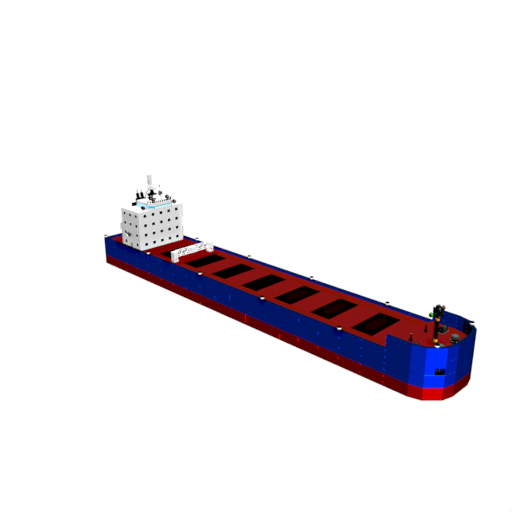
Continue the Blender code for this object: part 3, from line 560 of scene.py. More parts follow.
def capstan_paint():
    """Black base and neck under a grey-green drum with a row of sockets painted near black as painted shade.
    """
    paint = Paint("capstan_paint", roughness=0.6, gloss=0.05)
    height = paint.calc("SUBTRACT", paint.z, FORE_DECK)
    black = paint.vary(rgb(6, 7, 6), 0.3, 30.0)
    facing = paint.ease(paint.nz, 0.3, 0.8)
    drum = paint.mix(facing, on_front(74, 90, 88), on_top(80, 102, 100))
    drum = paint.vary(drum, 0.12, 30.0)
    # Painted shade: the sockets round the drum are painted near black
    socket = paint.both(paint.line(height, 0.212, 0.021), paint.rows(paint.y, 0.09, 0.02, 0.001, 0.008))
    drum = paint.mix(socket, drum, rgb(2, 2, 2))
    paint.tone = paint.mix(paint.ease(height, 0.162, 0.172), black, drum)
    return paint.done(70.0, 0.2, 0.001)


def anchor_paint():
    """The anchor in painted light and shade: dull brass on its lit upper after part, dark blue elsewhere and
    black at its foot.
    """
    paint = Paint("anchor_paint", roughness=0.7, gloss=0.0)
    along, _ = bow_plate_axes(paint)
    # Painted light on the lit upper after part, painted shade on the rest
    lit_part = paint.both(paint.ease(along, POCKET_ALONG + 0.06, POCKET_ALONG),
                          paint.ease(paint.z, 1.03, 1.07))
    brass = paint.vary(rgb(64, 54, 0, BOW_LIGHTS[1]), 0.25, 30.0)
    shade = paint.mix(paint.ease(paint.z, 0.99, 1.06), rgb(3, 5, 6), rgb(0, 11, 60, BOW_LIGHTS[1]))
    paint.tone = paint.mix(lit_part, paint.vary(shade, 0.2, 30.0), brass)
    return paint.done(60.0, 0.3, 0.001)


def windlass_bed_paint():
    """Black cheeks on a grey-green bed plate."""
    paint = Paint("windlass_bed_paint", roughness=0.6, gloss=0.05)
    bed = paint.both(paint.ease(paint.z, FORE_DECK + 0.024, FORE_DECK + 0.018),
                     paint.ease(paint.nz, 0.8, 0.6))
    teal = paint.vary(on_front(110, 132, 132), 0.12, 30.0)
    paint.tone = paint.mix(bed, paint.vary(rgb(6, 6, 6), 0.3, 30.0), teal)
    return paint.done(70.0, 0.2, 0.001)


def searchlight_glass():
    """Lamp glass that is tan in its upper half, gold brown below and dark red at its foot."""
    paint = Paint("searchlight_glass", roughness=0.35, gloss=0.2)
    half = (BRIDGE_ROOF - HOUSE_TOP) / 2      # half of the height from one pair of lamps to the other
    height = paint.calc("WRAP", paint.calc("SUBTRACT", paint.z, HOUSE_TOP + SEARCHLIGHT_Z), half, -half)
    paint.tone = paint.mix(paint.ease(height, -0.052, -0.028), on_front(52, 0, 0), on_front(86, 58, 8))
    paint.over(on_front(154, 128, 108), paint.ease(height, -0.012, 0.022))
    # Painted shade: the low searchlights to starboard are darker
    shaded = paint.both(paint.ease(paint.z, 3.60, 3.55), paint.ease(paint.y, -0.1, -0.2))
    dark = paint.mix(paint.ease(height, -0.030, 0.030), on_front(46, 0, 0), on_front(84, 42, 10))
    paint.tone = paint.vary(paint.mix(shaded, paint.tone, dark), 0.12, 40.0)
    return paint.done(60.0, 0.1, 0.001)


def lit(name, colour, shade, strength):
    """A coloured lamp glass that glows a little, dark towards the ship's outside."""
    paint = Paint(name, roughness=0.25, gloss=0.2)
    outside = paint.ease(paint.outwards, 0.45, 0.85)
    paint.tone = paint.vary(paint.mix(outside, colour, shade), 0.1, 40.0)
    paint.glow(strength)
    return paint.done()


def glowing_white():
    """White lamp glass with faint clouds and a slight glow; the vent plates and sidelight bases take it too,
    and their glow is painted light.
    """
    paint = Paint("white_glow", roughness=0.4, gloss=0.1)
    paint.tone = paint.vary(rgb(250, 250, 250), 0.04, 25.0)
    paint.glow(0.35)
    return paint.done(60.0, 0.1, 0.001)


def cabin_glass():
    """Pale cyan wheelhouse glass that glows a little as painted light, deep cyan on the front corners, with
    painted shade in deep cyan under the brow in front and at the aft ends.
    """
    paint = Paint("wheelhouse_glass", roughness=0.2, gloss=0.1)
    corner = paint.ease(paint.corner, 0.2, 0.45)
    front = paint.ease(paint.nx, 0.85, 0.95)
    high = paint.ease(paint.z, 3.462, 3.484)
    paint.tone = paint.mix(front, rgb(138, 220, 247, 1.1), rgb(218, 245, 251, 1.4))
    # Painted shade under the brow: deep cyan high on the front glass, and at the aft ends
    paint.over(rgb(40, 196, 222, 1.4), front, high)
    paint.over(rgb(46, 206, 229, 1.5), corner)
    aft = paint.ease(paint.x, BRIDGE_AFT + 0.16, BRIDGE_AFT + 0.08)
    paint.over(rgb(0, 150, 182, 1.0), aft, high)
    paint.cloud(0.06, 3.0)
    # Painted light: the glass glows though it is no lamp
    paint.glow(0.45)
    return paint.done(12.0, 0.05, 0.001)


def window_glass():
    """Near-black panes with a tone that changes a little from pane to pane."""
    paint = Paint("window_glass", roughness=0.3, gloss=0.0)
    shade = paint.ease(paint.noise(1.3, 0.0), 0.42, 0.62)
    paint.tone = paint.mix(shade, rgb(0, 0, 0), rgb(6, 6, 7))
    return paint.done(8.0, 0.05, 0.001)


HULL_BLUE = hull_blue("hull_blue")
BOW_BLUE = hull_blue("hull_blue_bow", bow=True)
RAIL_BLUE = hull_blue("hull_blue_bulwark", rail=True)
FORE_BLUE = fore_bulwark_blue()
HULL_RED = hull_red()
RUDDER_RED = rudder_red()
DECK_RED = deck_red()
COVER = cover_black()
WHITE_HOUSE = house_white()
WHITE = white_paint("white_paint", 178, 218, warm=0.004)
WHITE_GANTRY = white_paint("white_gantry", 190, 236, warm=-0.025)
WHITE_MAST = white_paint("white_mast", 172, 206)
BLACK = plain("black_paint", rgb(2, 2, 2), 0.7, gloss=0.0)
GREY = plain("grey_fittings", on_front(116, 118, 118))
PALE_GREY = plain("pale_grey_fittings", on_front(196, 198, 198), clouds=0.05)
PIPE_GREY = plain("grey_pipes", on_front(150, 152, 152), clouds=0.05)
DARK_GREY = plain("dark_grey_fittings", on_front(84, 86, 86), clouds=0.08)
GREEN_GREY = plain("green_grey_fittings", on_top(104, 124, 116))
STEEL = plain("worn_steel", rgb(128, 140, 136), 0.45, metallic=0.3, gloss=0.2, clouds=0.3)
GOLD = plain("brass", rgb(206, 150, 10), 0.5, dirt=rgb(110, 60, 0))
ANCHOR = anchor_paint()
BRONZE = plain("bronze", rgb(206, 150, 60), 0.35, metallic=0.6, gloss=0.3)
TAN = plain("door_tan", on_side(136, 96, 34))
DOOR_GREY = plain("door_grey", on_side(110, 110, 106), clouds=0.06)
GLOWING_WHITE = glowing_white()
FRAME_WHITE = plain("window_frames", on_front(218, 220, 220), clouds=0.05)
FLOOD_GREY = plain("flood_glass_grey", on_front(62, 74, 72), 0.4, gloss=0.2)
FLOOD_BROWN = plain("flood_glass_brown", on_front(136, 92, 52), 0.4, gloss=0.2)
PANE = window_glass()
CABIN_GLASS = cabin_glass()
LAMP_GLASS = searchlight_glass()
GREEN_LIGHT = lit("sidelight_green", rgb(50, 168, 0), rgb(4, 26, 0), 0.2)
RED_LIGHT = lit("sidelight_red", rgb(176, 0, 0), rgb(160, 0, 0), 0.1)
ROPE = wound_rope()
FOREMAST = foremast_paint()
CAPSTAN = capstan_paint()
WINDLASS_BED = windlass_bed_paint()

NODE_MATERIALS = {
    "hull_bottom": HULL_RED, "skeg": HULL_RED, "rudder": RUDDER_RED,
    "hull": HULL_BLUE, "hull_bow": BOW_BLUE, "bulwark": RAIL_BLUE, "forecastle_bulwark": FORE_BLUE,
    "main_deck": DECK_RED, "forecastle_deck": DECK_RED, "hatch_cover": COVER,
    "accommodation": WHITE_HOUSE, "door": DOOR_GREY, "wheelhouse_base": WHITE, "wheelhouse_roof": WHITE,
    "wheelhouse_glass": CABIN_GLASS, "main_mast": WHITE_MAST, "gantry_frame": WHITE_GANTRY,
    "gantry_wheel": STEEL, "exhausts": BLACK, "radar": BLACK, "searchlight": BLACK, "foremast": FOREMAST,
    "windlass_base": WINDLASS_BED, "windlass_drum": ROPE, "capstan": CAPSTAN, "bow_post": BLACK,
    "anchor": ANCHOR, "propeller": BRONZE,
}


def dress_nodes():
    """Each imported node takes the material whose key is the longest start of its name."""
    for name, thing in NODES.items():
        key = max((k for k in NODE_MATERIALS if name.startswith(k)), key=len)
        if not thing.material_slots:
            thing.data.materials.append(None)
        for holder in thing.material_slots:
            holder.material = NODE_MATERIALS[key]


# Shapes for the pieces, all in world metres in one bmesh

def frame_along(centre, direction):
    """Matrix that puts the Z axis along a direction at a centre."""
    turn = Vector(direction).to_track_quat("Z", "Y").to_matrix().to_4x4()
    return Matrix.Translation(centre) @ turn


def lathe(shape, profile, centre, along=(0, 0, 1), sides=24):
    """Adds a turned solid; profile is (radius, height) from one end to the other."""
    matrix = frame_along(centre, along)
    rings = []
    for radius, height in profile:
        count = 1 if radius < 1e-6 else sides
        ring = []
        for k in range(count):
            angle = 2 * math.pi * k / sides
            corner = Vector((radius * math.cos(angle), radius * math.sin(angle), height))
            ring.append(shape.verts.new(matrix @ corner))
        rings.append(ring)
    for low, high in zip(rings, rings[1:]):
        for k in range(sides):
            n = (k + 1) % sides
            corners = [low[k % len(low)], low[n % len(low)], high[n % len(high)], high[k % len(high)]]
            corners = list(dict.fromkeys(corners))
            if len(corners) > 2:
                shape.faces.new(corners)
    for ring in (rings[0], rings[-1]):
        if len(ring) > 1:
            shape.faces.new(ring)


def bar(shape, start, end, radius, sides=8):
    """Adds a straight round rod."""
    start, end = Vector(start), Vector(end)
    reach = (end - start).length
    lathe(shape, ((radius, 0.0), (radius, reach)), start, end - start, sides)


def path(shape, points, radius):
    """Bars from point to point with round joints between them."""
    wide, high = radius * 0.8, radius * 0.6
    ball = ((0.0, -radius), (wide, -high), (radius, 0.0), (wide, high), (0.0, radius))
    for a, b in zip(points, points[1:]):
        bar(shape, a, b, radius)
    for point in points[1:-1]:
        lathe(shape, ball, point, sides=8)


def slab(shape, low, high, matrix=None):
    """Adds a box between two corners, turned by a matrix where one is given."""
    matrix = matrix or Matrix()
    made = [shape.verts.new(matrix @ Vector(corner)) for corner in itertools.product(*zip(low, high))]
    for face in ((0, 1, 3, 2), (4, 6, 7, 5), (0, 4, 5, 1), (2, 3, 7, 6), (0, 2, 6, 4), (1, 5, 7, 3)):
        shape.faces.new([made[k] for k in face])


def shapes(count):
    return [bmesh.new() for _ in range(count)]


def add_object(name, data):
    thing = bpy.data.objects.new(name, data)
    bpy.context.scene.collection.objects.link(thing)
    return thing


def finish_piece(name, shape, material, body="hull", bevel=0.0):
    """Turns the bmesh into a piece with its edges eased, which rides on a body."""
    bmesh.ops.recalc_face_normals(shape, faces=shape.faces)
    mesh = bpy.data.meshes.new(name)
    shape.to_mesh(mesh)
    shape.free()
    mesh.materials.append(material)
    mesh.shade_smooth()
    mesh.set_sharp_from_angle(angle=math.radians(30))
    piece = add_object(name, mesh)
    if bevel:
        ease = piece.modifiers.new("eased", "BEVEL")
        ease.width = bevel
        ease.segments = 2
        ease.limit_method = "ANGLE"
    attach(piece, body)


# Windows of the deckhouse: heights of their rows and places of their columns along a wall

WINDOW_ROWS = [1.5875 + WINDOW_STEP * k for k in range(4)]
FRONT_COLUMNS = [WINDOW_STEP * k for k in range(-2, 3)]
DOOR_COLUMN = -7.5925
SIDE_COLUMNS = [DOOR_COLUMN + WINDOW_STEP * k for k in range(-1, 2)]
PANE_WIDE, PANE_HIGH, RIM = 0.083, 0.080, 0.012     # half width, half height, width of the frame
SUNK = -0.004               # how far the trim goes into the wall


# Ship's x and y on each wall: how they go along and out of the wall, and where the wall stands
WALLS = {"front": ((0, 1, HOUSE_FRONT), (1, 0, 0)), "aft": ((0, -1, HOUSE_AFT), (1, 0, 0)),
         "starboard": ((1, 0, 0), (0, -1, -HOUSE_HALF)), "port": ((1, 0, 0), (0, 1, HOUSE_HALF))}


def wall_frame(wall):
    """Matrix from window axes (along the wall, out of the wall, up) to the ship's."""
    rows = [(along, out, 0, place) for along, out, place in WALLS[wall]]
    return Matrix((*rows, (0, 0, 1, 0), (0, 0, 0, 1)))


def windows(wall):
    """Frames, panes and sills; the side walls have a door and a vent box in place of two windows."""
    frames, panes, sills = shapes(3)
    turn = wall_frame(wall)
    for row, height in enumerate(WINDOW_ROWS):
        low, high = height - PANE_HIGH, height + PANE_HIGH
        for column in FRONT_COLUMNS if wall in ("front", "aft") else SIDE_COLUMNS:
            if column == DOOR_COLUMN and row < 2:
                continue
            left, right = column - PANE_WIDE, column + PANE_WIDE
            for side in (-1, 1):
                edge = column + side * (PANE_WIDE + RIM / 2)
                slab(frames, (edge - RIM / 2, SUNK, low - RIM), (edge + RIM / 2, 0.010, high + RIM), turn)
                edge = height + side * (PANE_HIGH + RIM / 2)
                slab(frames, (left, SUNK, edge - RIM / 2), (right, 0.010, edge + RIM / 2), turn)
            slab(panes, (left, SUNK, low), (right, 0.004, high), turn)
            slab(sills, (left - RIM, SUNK, low - RIM - 0.010), (right + RIM, 0.018, low - RIM), turn)
    finish_piece(f"window_frames_{wall}", frames, FRAME_WHITE)
    finish_piece(f"window_panes_{wall}", panes, PANE)
    finish_piece(f"window_sills_{wall}", sills, FRAME_WHITE)


# Fittings of the deckhouse

VENT_PANELS = ((1.995, 2.060), (1.900, 2.085), (1.925, 2.106))   # lower and upper edge, from aft
VENT_AFT = -7.914
VENT_STEP = 0.093
DOOR_AFT, DOOR_FORE = -7.692, -7.548                 # outer edges of the door frames
CASING_X = HOUSE_AFT - 0.10                          # back of the casing on the aft wall
GAS_CAN = (HOUSE_AFT - 0.19, -1.255)
PIPE_OUT = 0.024                                     # from the walls to the middle of the corner pipes


def house_vents():
    """Black louvres with a white plate at one corner over the vent boxes of the side walls."""
    dark, pale, grey = shapes(3)
    for side, _ in SIDES:
        turn = wall_frame(side)
        for k, (low, high) in enumerate(VENT_PANELS):
            aft = VENT_AFT + VENT_STEP * k
            # Painted shade: a black sheet behind the slats stands for the dark inside of the vent
            slab(dark, (aft, 0.0585, low), (aft + 0.094, 0.0625, high), turn)
            for step in range(3):
                z = low + (high - low) * (step + 0.5) / 3
                slab(dark, (aft + 0.004, 0.058, z - 0.010), (aft + 0.090, 0.074, z + 0.010), turn)
        slab(pale, (-7.924, 0.0, 1.880), (-7.836, 0.078, 1.992), turn)
        slab(grey, (-7.635, 0.004, 1.93), (-7.585, 0.062, 2.116), turn)
        slab(grey, (-7.905, 0.004, 2.090), (-7.640, 0.064, 2.118), turn)
    finish_piece("vent_louvres", dark, BLACK, bevel=0.001)
    # Painted light: the vent plates take the glowing white, though they are no lamps
    finish_piece("vent_plates", pale, GLOWING_WHITE, bevel=0.002)
    finish_piece("vent_edges", grey, GREY, bevel=0.001)


def house_doors():
    """Frames, steps and knobs of the side doors."""
    frames, steps = shapes(2)
    inner_aft, inner_fore = DOOR_AFT + 0.018, DOOR_FORE - 0.018
    turned = ((0.0, -0.008), (0.006, -0.006), (0.006, 0.004), (0.010, 0.006), (0.009, 0.012), (0.0, 0.014))
    for side, sign in SIDES:
        turn = wall_frame(side)
        for low, high in ((DOOR_AFT, inner_aft), (inner_fore, DOOR_FORE)):
            slab(frames, (low, -0.002, 1.348), (high, 0.010, 1.600), turn)
        slab(frames, (inner_aft, -0.002, 1.576), (inner_fore, 0.010, 1.600), turn)
        slab(steps, (-7.70, -0.002, DECK + GAP), (-7.54, 0.012, 1.346), turn)
        slab(steps, (-7.70, 0.012, DECK + GAP), (-7.54, 0.085, DECK + 0.018), turn)
        knob = bmesh.new()
        lathe(knob, turned, turn @ Vector((-7.585, 0.0, 1.45)), (0, sign, 0), sides=12)
        finish_piece(f"door_knob_{side}", knob, GOLD, body=f"door_{side}")
    finish_piece("door_frames", frames, DOOR_GREY, bevel=0.002)
    finish_piece("door_steps", steps, TAN, bevel=0.002)


def house_outfit():
    """Casing and gas can on the aft wall, pipes on the port corner and a coaming on the deckhouse roof."""
    casing, pale, pipes = shapes(3)
    wall = HOUSE_AFT + 0.004
    slab(casing, (CASING_X, -1.335, DECK + GAP), (wall, -1.05, 2.50))
    slab(casing, (CASING_X - 0.012, -1.345, 2.50), (wall, -1.04, 2.52))
    for k in range(6):
        z = 1.52 + 0.04 * k
        slab(casing, (CASING_X - 0.006, -1.30, z), (CASING_X + 0.002, -1.09, z + 0.015))
    can = ((0.0, 0.0), (0.06, 0.004), (0.075, 0.02), (0.075, 0.32), (0.06, 0.336), (0.0, 0.34))
    lathe(pale, can, (*GAS_CAN, 2.11), sides=20)
    strap = ((0.078, 0.0), (0.081, 0.006), (0.081, 0.018), (0.078, 0.024))
    for z in (2.16, 2.40):
        lathe(casing, strap, (*GAS_CAN, z), sides=20)
        slab(casing, (CASING_X - 0.02, GAS_CAN[1] - 0.02, z),
             (CASING_X + 0.002, GAS_CAN[1] + 0.02, z + 0.024))
    x, y = HOUSE_FRONT - PIPE_OUT, HOUSE_HALF + PIPE_OUT
    for low, high in ((2.58, 3.27), (1.42, 2.05)):
        bar(pipes, (x, y, low), (x, y, high), 0.022, 12)
        for z in (low + 0.08, (low + high) / 2, high - 0.08):
            slab(casing, (HOUSE_FRONT - 0.05, HOUSE_HALF - 0.002, z - 0.010),
                 (HOUSE_FRONT, HOUSE_HALF + 0.047, z + 0.010))
    slab(casing, (-8.335, -1.075, HOUSE_TOP), (-8.30, -0.93, HOUSE_TOP + 0.022))
    finish_piece("house_casings", casing, PALE_GREY, bevel=0.003)
    finish_piece("house_pipes", pipes, PIPE_GREY)
    finish_piece("gas_can", pale, PALE_GREY)


# Wheelhouse and its roof

RAIL_INSET = 0.035
RAIL_LEVELS = (0.05, 0.098)
CROSS_ANTENNA = (-7.361, -0.27)
CURVED_ANTENNA = (-7.12, 0.176)
PLATFORM_FRONT, PLATFORM_AFT, PLATFORM_HALF, PLATFORM_Z = -7.31, MAST_X - 0.03, 0.12, 4.20
RADAR = (-7.43, -0.07, 3.895)
FUNNEL_PIPE = (-8.00, 3.61)     # foot of each funnel pipe
FUNNEL_LEAN = math.radians(17.0)
FUNNEL_WHIPS = ((-0.50, 4.13), (-0.25, 4.05))        # place across, top


def bridge_plan(inset):
    """Corners of the wheelhouse in plan, starting aft to starboard, moved inwards."""
    back, front, half, chamfer = BRIDGE_AFT, BRIDGE_FRONT - inset, BRIDGE_HALF - inset, BRIDGE_CHAMFER
    return [Vector((back + inset, -half)), Vector((front - chamfer, -half)), Vector((front, -half + chamfer)),
            Vector((front, half - chamfer)), Vector((front - chamfer, half)), Vector((back + inset, half))]


def spaced(start, end, step):
    """Points from start to end, both included, about a step apart."""
    count = max(1, round((end - start).length / step))
    return [start + (end - start) * k / count for k in range(count + 1)]


def wheelhouse_trim():
    """Mullions over the glass band and the open railing along the front edge of the roof."""
    mullions, rail, posts = shapes(3)
    plan = bridge_plan(-0.003)
    for start, end in zip(plan, plan[1:] + plan[:1]):
        for point in spaced(start, end, 0.24):
            bar(mullions, (*point, 3.388), (*point, 3.526), 0.006, 6)
    plan = bridge_plan(RAIL_INSET)
    for start, end in zip(plan[1:], plan[2:5]):
        for level in RAIL_LEVELS:
            bar(rail, (*start, BRIDGE_ROOF + level), (*end, BRIDGE_ROOF + level), 0.007, 6)
        for point in spaced(start, end, 0.112):
            bar(posts, (*point, BRIDGE_ROOF), (*point, BRIDGE_ROOF + 0.102), 0.025, 8)
    finish_piece("wheelhouse_mullions", mullions, PALE_GREY)
    finish_piece("roof_rails", rail, GREY)
    finish_piece("roof_rail_posts", posts, BLACK)


def roof_fittings():
    """Antennas, covers of radar and funnel pipes, and the platform of the mast with its legs."""
    grey, dark, pale, cans, scanner = shapes(5)
    top = BRIDGE_ROOF
    # cross antenna and instrument box beside the radar
    x, y = CROSS_ANTENNA
    lathe(dark, ((0.050, 0.0), (0.050, 0.20), (0.036, 0.240), (0.0, 0.250)), (x, y, top), sides=16)
    bar(dark, (x, y - 0.105, top + 0.135), (x, y + 0.105, top + 0.135), 0.042, 12)
    lathe(dark, ((0.05, 0.0), (0.05, 0.012), (0.03, 0.03), (0.0, 0.03)), (x, y, top), sides=16)
    slab(dark, (-7.395, -0.015, top + 0.01), (-7.325, 0.097, top + 0.058))
    for foot_x in (-7.385, -7.335):
        for foot_y in (0.0, 0.082):
            bar(dark, (foot_x, foot_y, top), (foot_x, foot_y, top + 0.012), 0.006, 6)
    # antenna on a curved stand
    x, y = CURVED_ANTENNA
    stand = [(-6.99 - 0.13 * t * t, 0.206 - 0.03 * t, top + 0.24 * t) for t in (0.0, 0.25, 0.5, 0.75, 1.0)]
    path(grey, stand, 0.018)
    can = ((0.0, 0.0), (0.045, 0.004), (0.063, 0.02), (0.063, 0.20), (0.05, 0.22), (0.012, 0.225),
           (0.010, 0.25))
    lathe(cans, can, (x, y, top + 0.225), sides=16)
    can = ((0.0, 0.0), (0.040, 0.004), (0.045, 0.02), (0.045, 0.13), (0.0, 0.14))
    lathe(dark, can, (x, 0.285, top + 0.27), sides=12)
    bar(dark, (x, 0.20, top + 0.34), (x, 0.285, top + 0.34), 0.012)
    bar(pale, (x, y, top + 0.44), (x, y, 4.31), 0.005, 6)
    can = ((0.0, 0.0), (0.018, 0.01), (0.026, 0.05), (0.018, 0.10), (0.0, 0.12))
    lathe(cans, can, (x, y, 4.30), sides=10)
    # whips and funnel pipes
    lean = (-math.sin(FUNNEL_LEAN), 0.0, math.cos(FUNNEL_LEAN))
    pipe = ((0.052, -0.02), (0.078, -0.015), (0.078, 0.30), (0.070, 0.335), (0.040, 0.338))
    for y, high in FUNNEL_WHIPS:
        bar(cans, (-8.10, y, 3.90), (-8.10, y, high - 0.06), 0.017)
        bar(grey, (-8.10, y, high - 0.07), (-8.10, y, high + 0.03), 0.011)
        lathe(dark, pipe, (FUNNEL_PIPE[0], y, FUNNEL_PIPE[1]), lean)
    slab(dark, (-8.130, -0.60, 3.50), (-7.930, -0.13, 3.675))
    # column of the radar and its cover, which turns with it
    column = ((0.055, 0.0), (0.055, 0.02), (0.042, 0.04), (0.042, 0.235), (0.0, 0.235))
    lathe(dark, column, (*RADAR[:2], top))
    slab(scanner, (-0.036, -0.242, -0.030), (0.036, 0.242, 0.046), Matrix.Translation(RADAR))
    cone = ((0.0, 0.0), (0.11, 0.02), (0.135, 0.055), (0.115, 0.10), (0.088, 0.15), (0.082, 0.23),
            (0.06, 0.25), (0.0, 0.252))
    lathe(scanner, cone, RADAR)
    # platform of the mast and its legs
    low, high = PLATFORM_Z, PLATFORM_Z + 0.085
    ring = [(PLATFORM_AFT, -PLATFORM_HALF), (PLATFORM_FRONT, -PLATFORM_HALF), (PLATFORM_FRONT, PLATFORM_HALF),
            (PLATFORM_AFT, PLATFORM_HALF)]
    for a, b in zip(ring, ring[1:] + ring[:1]):
        bar(pale, (*a, low), (*b, low), 0.013)
        bar(pale, (*a, high), (*b, high), 0.006, 6)
        bar(pale, (*a, low), (*a, high), 0.006, 6)
    for x in (-7.60, -7.50, -7.40):
        bar(pale, (x, -PLATFORM_HALF, low), (x, PLATFORM_HALF, low), 0.007, 6)
    for sign in (-1, 1):
        foot = (-7.81, sign * 0.22, top)
        path(grey, (foot, (-7.785, sign * 0.185, 3.93), (MAST_X - 0.01, sign * 0.02, 4.17)), 0.020)
        lathe(grey, ((0.04, 0.0), (0.04, 0.012), (0.024, 0.02), (0.0, 0.02)), foot, sides=12)
    finish_piece("radar_cover", scanner, BLACK, body="radar", bevel=0.006)
    finish_piece("roof_antennas", grey, GREY)
    finish_piece("roof_cans", cans, DARK_GREY)
    finish_piece("roof_boxes", dark, BLACK, bevel=0.001)
    finish_piece("mast_platform", pale, PALE_GREY)


def searchlights():
    """Glass, housing, foot and top knob on each searchlight."""
    low, high = (-7.0, 0.965, HOUSE_TOP), (-6.865, 0.43, BRIDGE_ROOF)
    glass, housing, grey, feet, knobs = shapes(5)
    lens = ((0.0, 0.070), (0.071, 0.074), (0.071, 0.084), (0.050, 0.094), (0.0, 0.099))
    drum = ((0.0, -0.094), (0.050, -0.090), (0.080, -0.068), (0.0885, -0.020), (0.0885, 0.010), (0.0, 0.010))
    rim = ((0.074, 0.066), (0.086, 0.066), (0.086, 0.084), (0.074, 0.086))
    foot = ((0.090, GAP), (0.090, 0.014), (0.050, 0.022), (0.024, 0.034), (0.024, 0.060), (0.0, 0.060))
    knob = ((0.034, 0.228), (0.048, 0.25), (0.036, 0.272), (0.0, 0.276))
    for x, wide, z in (low, high):
        for y in (-wide, wide):
            for shape, profile in ((glass, lens), (housing, drum), (housing, rim)):
                lathe(shape, profile, (x, y, z + SEARCHLIGHT_Z), (1, 0, 0))
            lathe(grey if z == HOUSE_TOP else feet, foot, (x, y, z))
            lathe(knobs, knob, (x - 0.02, y, z), sides=12)
    finish_piece("searchlight_glass", glass, LAMP_GLASS)
    finish_piece("searchlight_housings", housing, BLACK)
    finish_piece("searchlight_tops", knobs, PIPE_GREY)
    finish_piece("searchlight_feet_low", grey, PALE_GREY)
    finish_piece("searchlight_feet", feet, BLACK)


# Lamps and bow gear

# Places of the solids that they sit on: along the ship, and out from its middle
SIDE_LAMPS = (-5.945, -2.053, 1.837, 5.731)
BOW_LAMP = (9.395, 1.185)
WINDLASS = (8.455, 0.97)
CAPSTAN_PLACE = (9.17, 0.51)
BOW_POST = (8.04, 0.495)


def rail_lamps():
    """White globes with black caps over the lamp solids of the bulwarks."""
    inset = BULWARK / 2
    places = [(x, sign * (HALF_BEAM - inset), RAIL) for x in SIDE_LAMPS for _, sign in SIDES]
    places += [(-HALF_LENGTH + inset, sign * (HALF_BEAM - inset), RAIL) for _, sign in SIDES]
    places += [(BOW_LAMP[0], sign * BOW_LAMP[1], FORE_RAIL) for _, sign in SIDES]
    globe = ((0.048, 0.013), (0.064, 0.032), (0.074, 0.060), (0.068, 0.0885), (0.0, 0.0885))
    cap = ((0.0, 0.0885), (0.080, 0.0890), (0.080, 0.108), (0.060, 0.1265), (0.0, 0.1345))
    foot = ((0.0, 0.0), (0.0435, 0.0), (0.0435, 0.0135), (0.0, 0.0135))
    parts = (("globes", GLOWING_WHITE, globe), ("caps", BLACK, cap), ("feet", GREY, foot))
    for name, material, profile in parts:
        shape = bmesh.new()
        for place in places:
            lathe(shape, profile, place)
        finish_piece(f"rail_lamp_{name}", shape, material)


def foremast_trim():
    """Sidelights, the glass and rims of the flood lamps, caps, a sleeve and a ladder on the foremast."""
    green, red, white, caps, sleeve, ladder, rims, grey, brown = shapes(9)
    glass = ((0.0, -0.052), (0.062, -0.050), (0.074, 0.0), (0.066, 0.056), (0.040, 0.082), (0.0, 0.084))
    base = ((0.0, -0.078), (0.030, -0.076), (0.046, -0.060), (0.051, -0.046), (0.0, -0.046))
    cap = ((0.0, 0.083), (0.030, 0.084), (0.026, 0.094), (0.0, 0.096))
    for shape, sign in ((green, -1), (red, 1)):
        centre = (FOREMAST_X - YARD_BACK, sign * YARD_HALF, YARD_Z)
        lathe(shape, glass, centre)
        lathe(white, base, centre)
        lathe(caps, cap, centre, sides=12)
    top = ((0.0, 2.848), (0.047, 2.849), (0.047, 2.862), (0.030, 2.870), (0.0, 2.872))
    lathe(caps, top, (FOREMAST_X, 0, 0))
    lens = ((0.0, 0.160), (0.028, 0.168), (0.028, 0.178), (0.018, 0.183), (0.0, 0.185))
    rim = ((0.028, 0.172), (0.028, 0.150), (0.062, 0.150), (0.062, 0.176), (0.030, 0.179))
    for tier, (height, first) in enumerate(FLOOD_TIERS):
        for k in range(4):
            turn = math.radians(first + 90 * k)
            out = Vector((math.cos(turn), math.sin(turn), 0.0))
            lathe(brown if tier == 0 and k in (0, 3) else grey, lens, (FOREMAST_X, 0.0, height), out, 16)
            lathe(rims, rim, (FOREMAST_X, 0.0, height), out, 16)
    reach = 0.14 * math.sqrt(0.5)
    lid = ((0.0, 0.0), (0.040, 0.0), (0.036, 0.012), (0.0, 0.014))
    for y in (reach, -reach):
        lathe(caps, lid, (FOREMAST_X + reach, y, 2.774), sides=16)
    lathe(sleeve, ((0.052, 1.585), (0.064, 1.590), (0.064, 2.255), (0.052, 2.262)), (FOREMAST_X, 0, 0))
    back = FOREMAST_X - 0.095
    for y in (-0.035, 0.035):
        bar(ladder, (back, y, FORE_DECK), (back, y, 2.24), 0.005, 6)
    for k in range(17):
        height = FORE_DECK + 0.06 + k * 0.045
        bar(ladder, (back, -0.035, height), (back, 0.035, height), 0.004, 6)
    for height in (1.75, 2.15):
        for sign in (-1, 1):
            bar(ladder, (back, sign * 0.035, height), (FOREMAST_X - 0.03, sign * 0.02, height), 0.005, 6)
    for name, shape, material in (
            ("sidelight_starboard", green, GREEN_LIGHT), ("sidelight_port", red, RED_LIGHT),
            # Painted light: the sidelight bases take the glowing white, though they are no lamps
            ("sidelight_bases", white, GLOWING_WHITE), ("foremast_caps", caps, GREEN_GREY),
            ("flood_glass_grey", grey, FLOOD_GREY), ("flood_glass_brown", brown, FLOOD_BROWN),
            ("flood_rims", rims, BLACK), ("foremast_sleeve", sleeve, BLACK),
            ("foremast_ladder", ladder, BLACK)):
        finish_piece(name, shape, material)


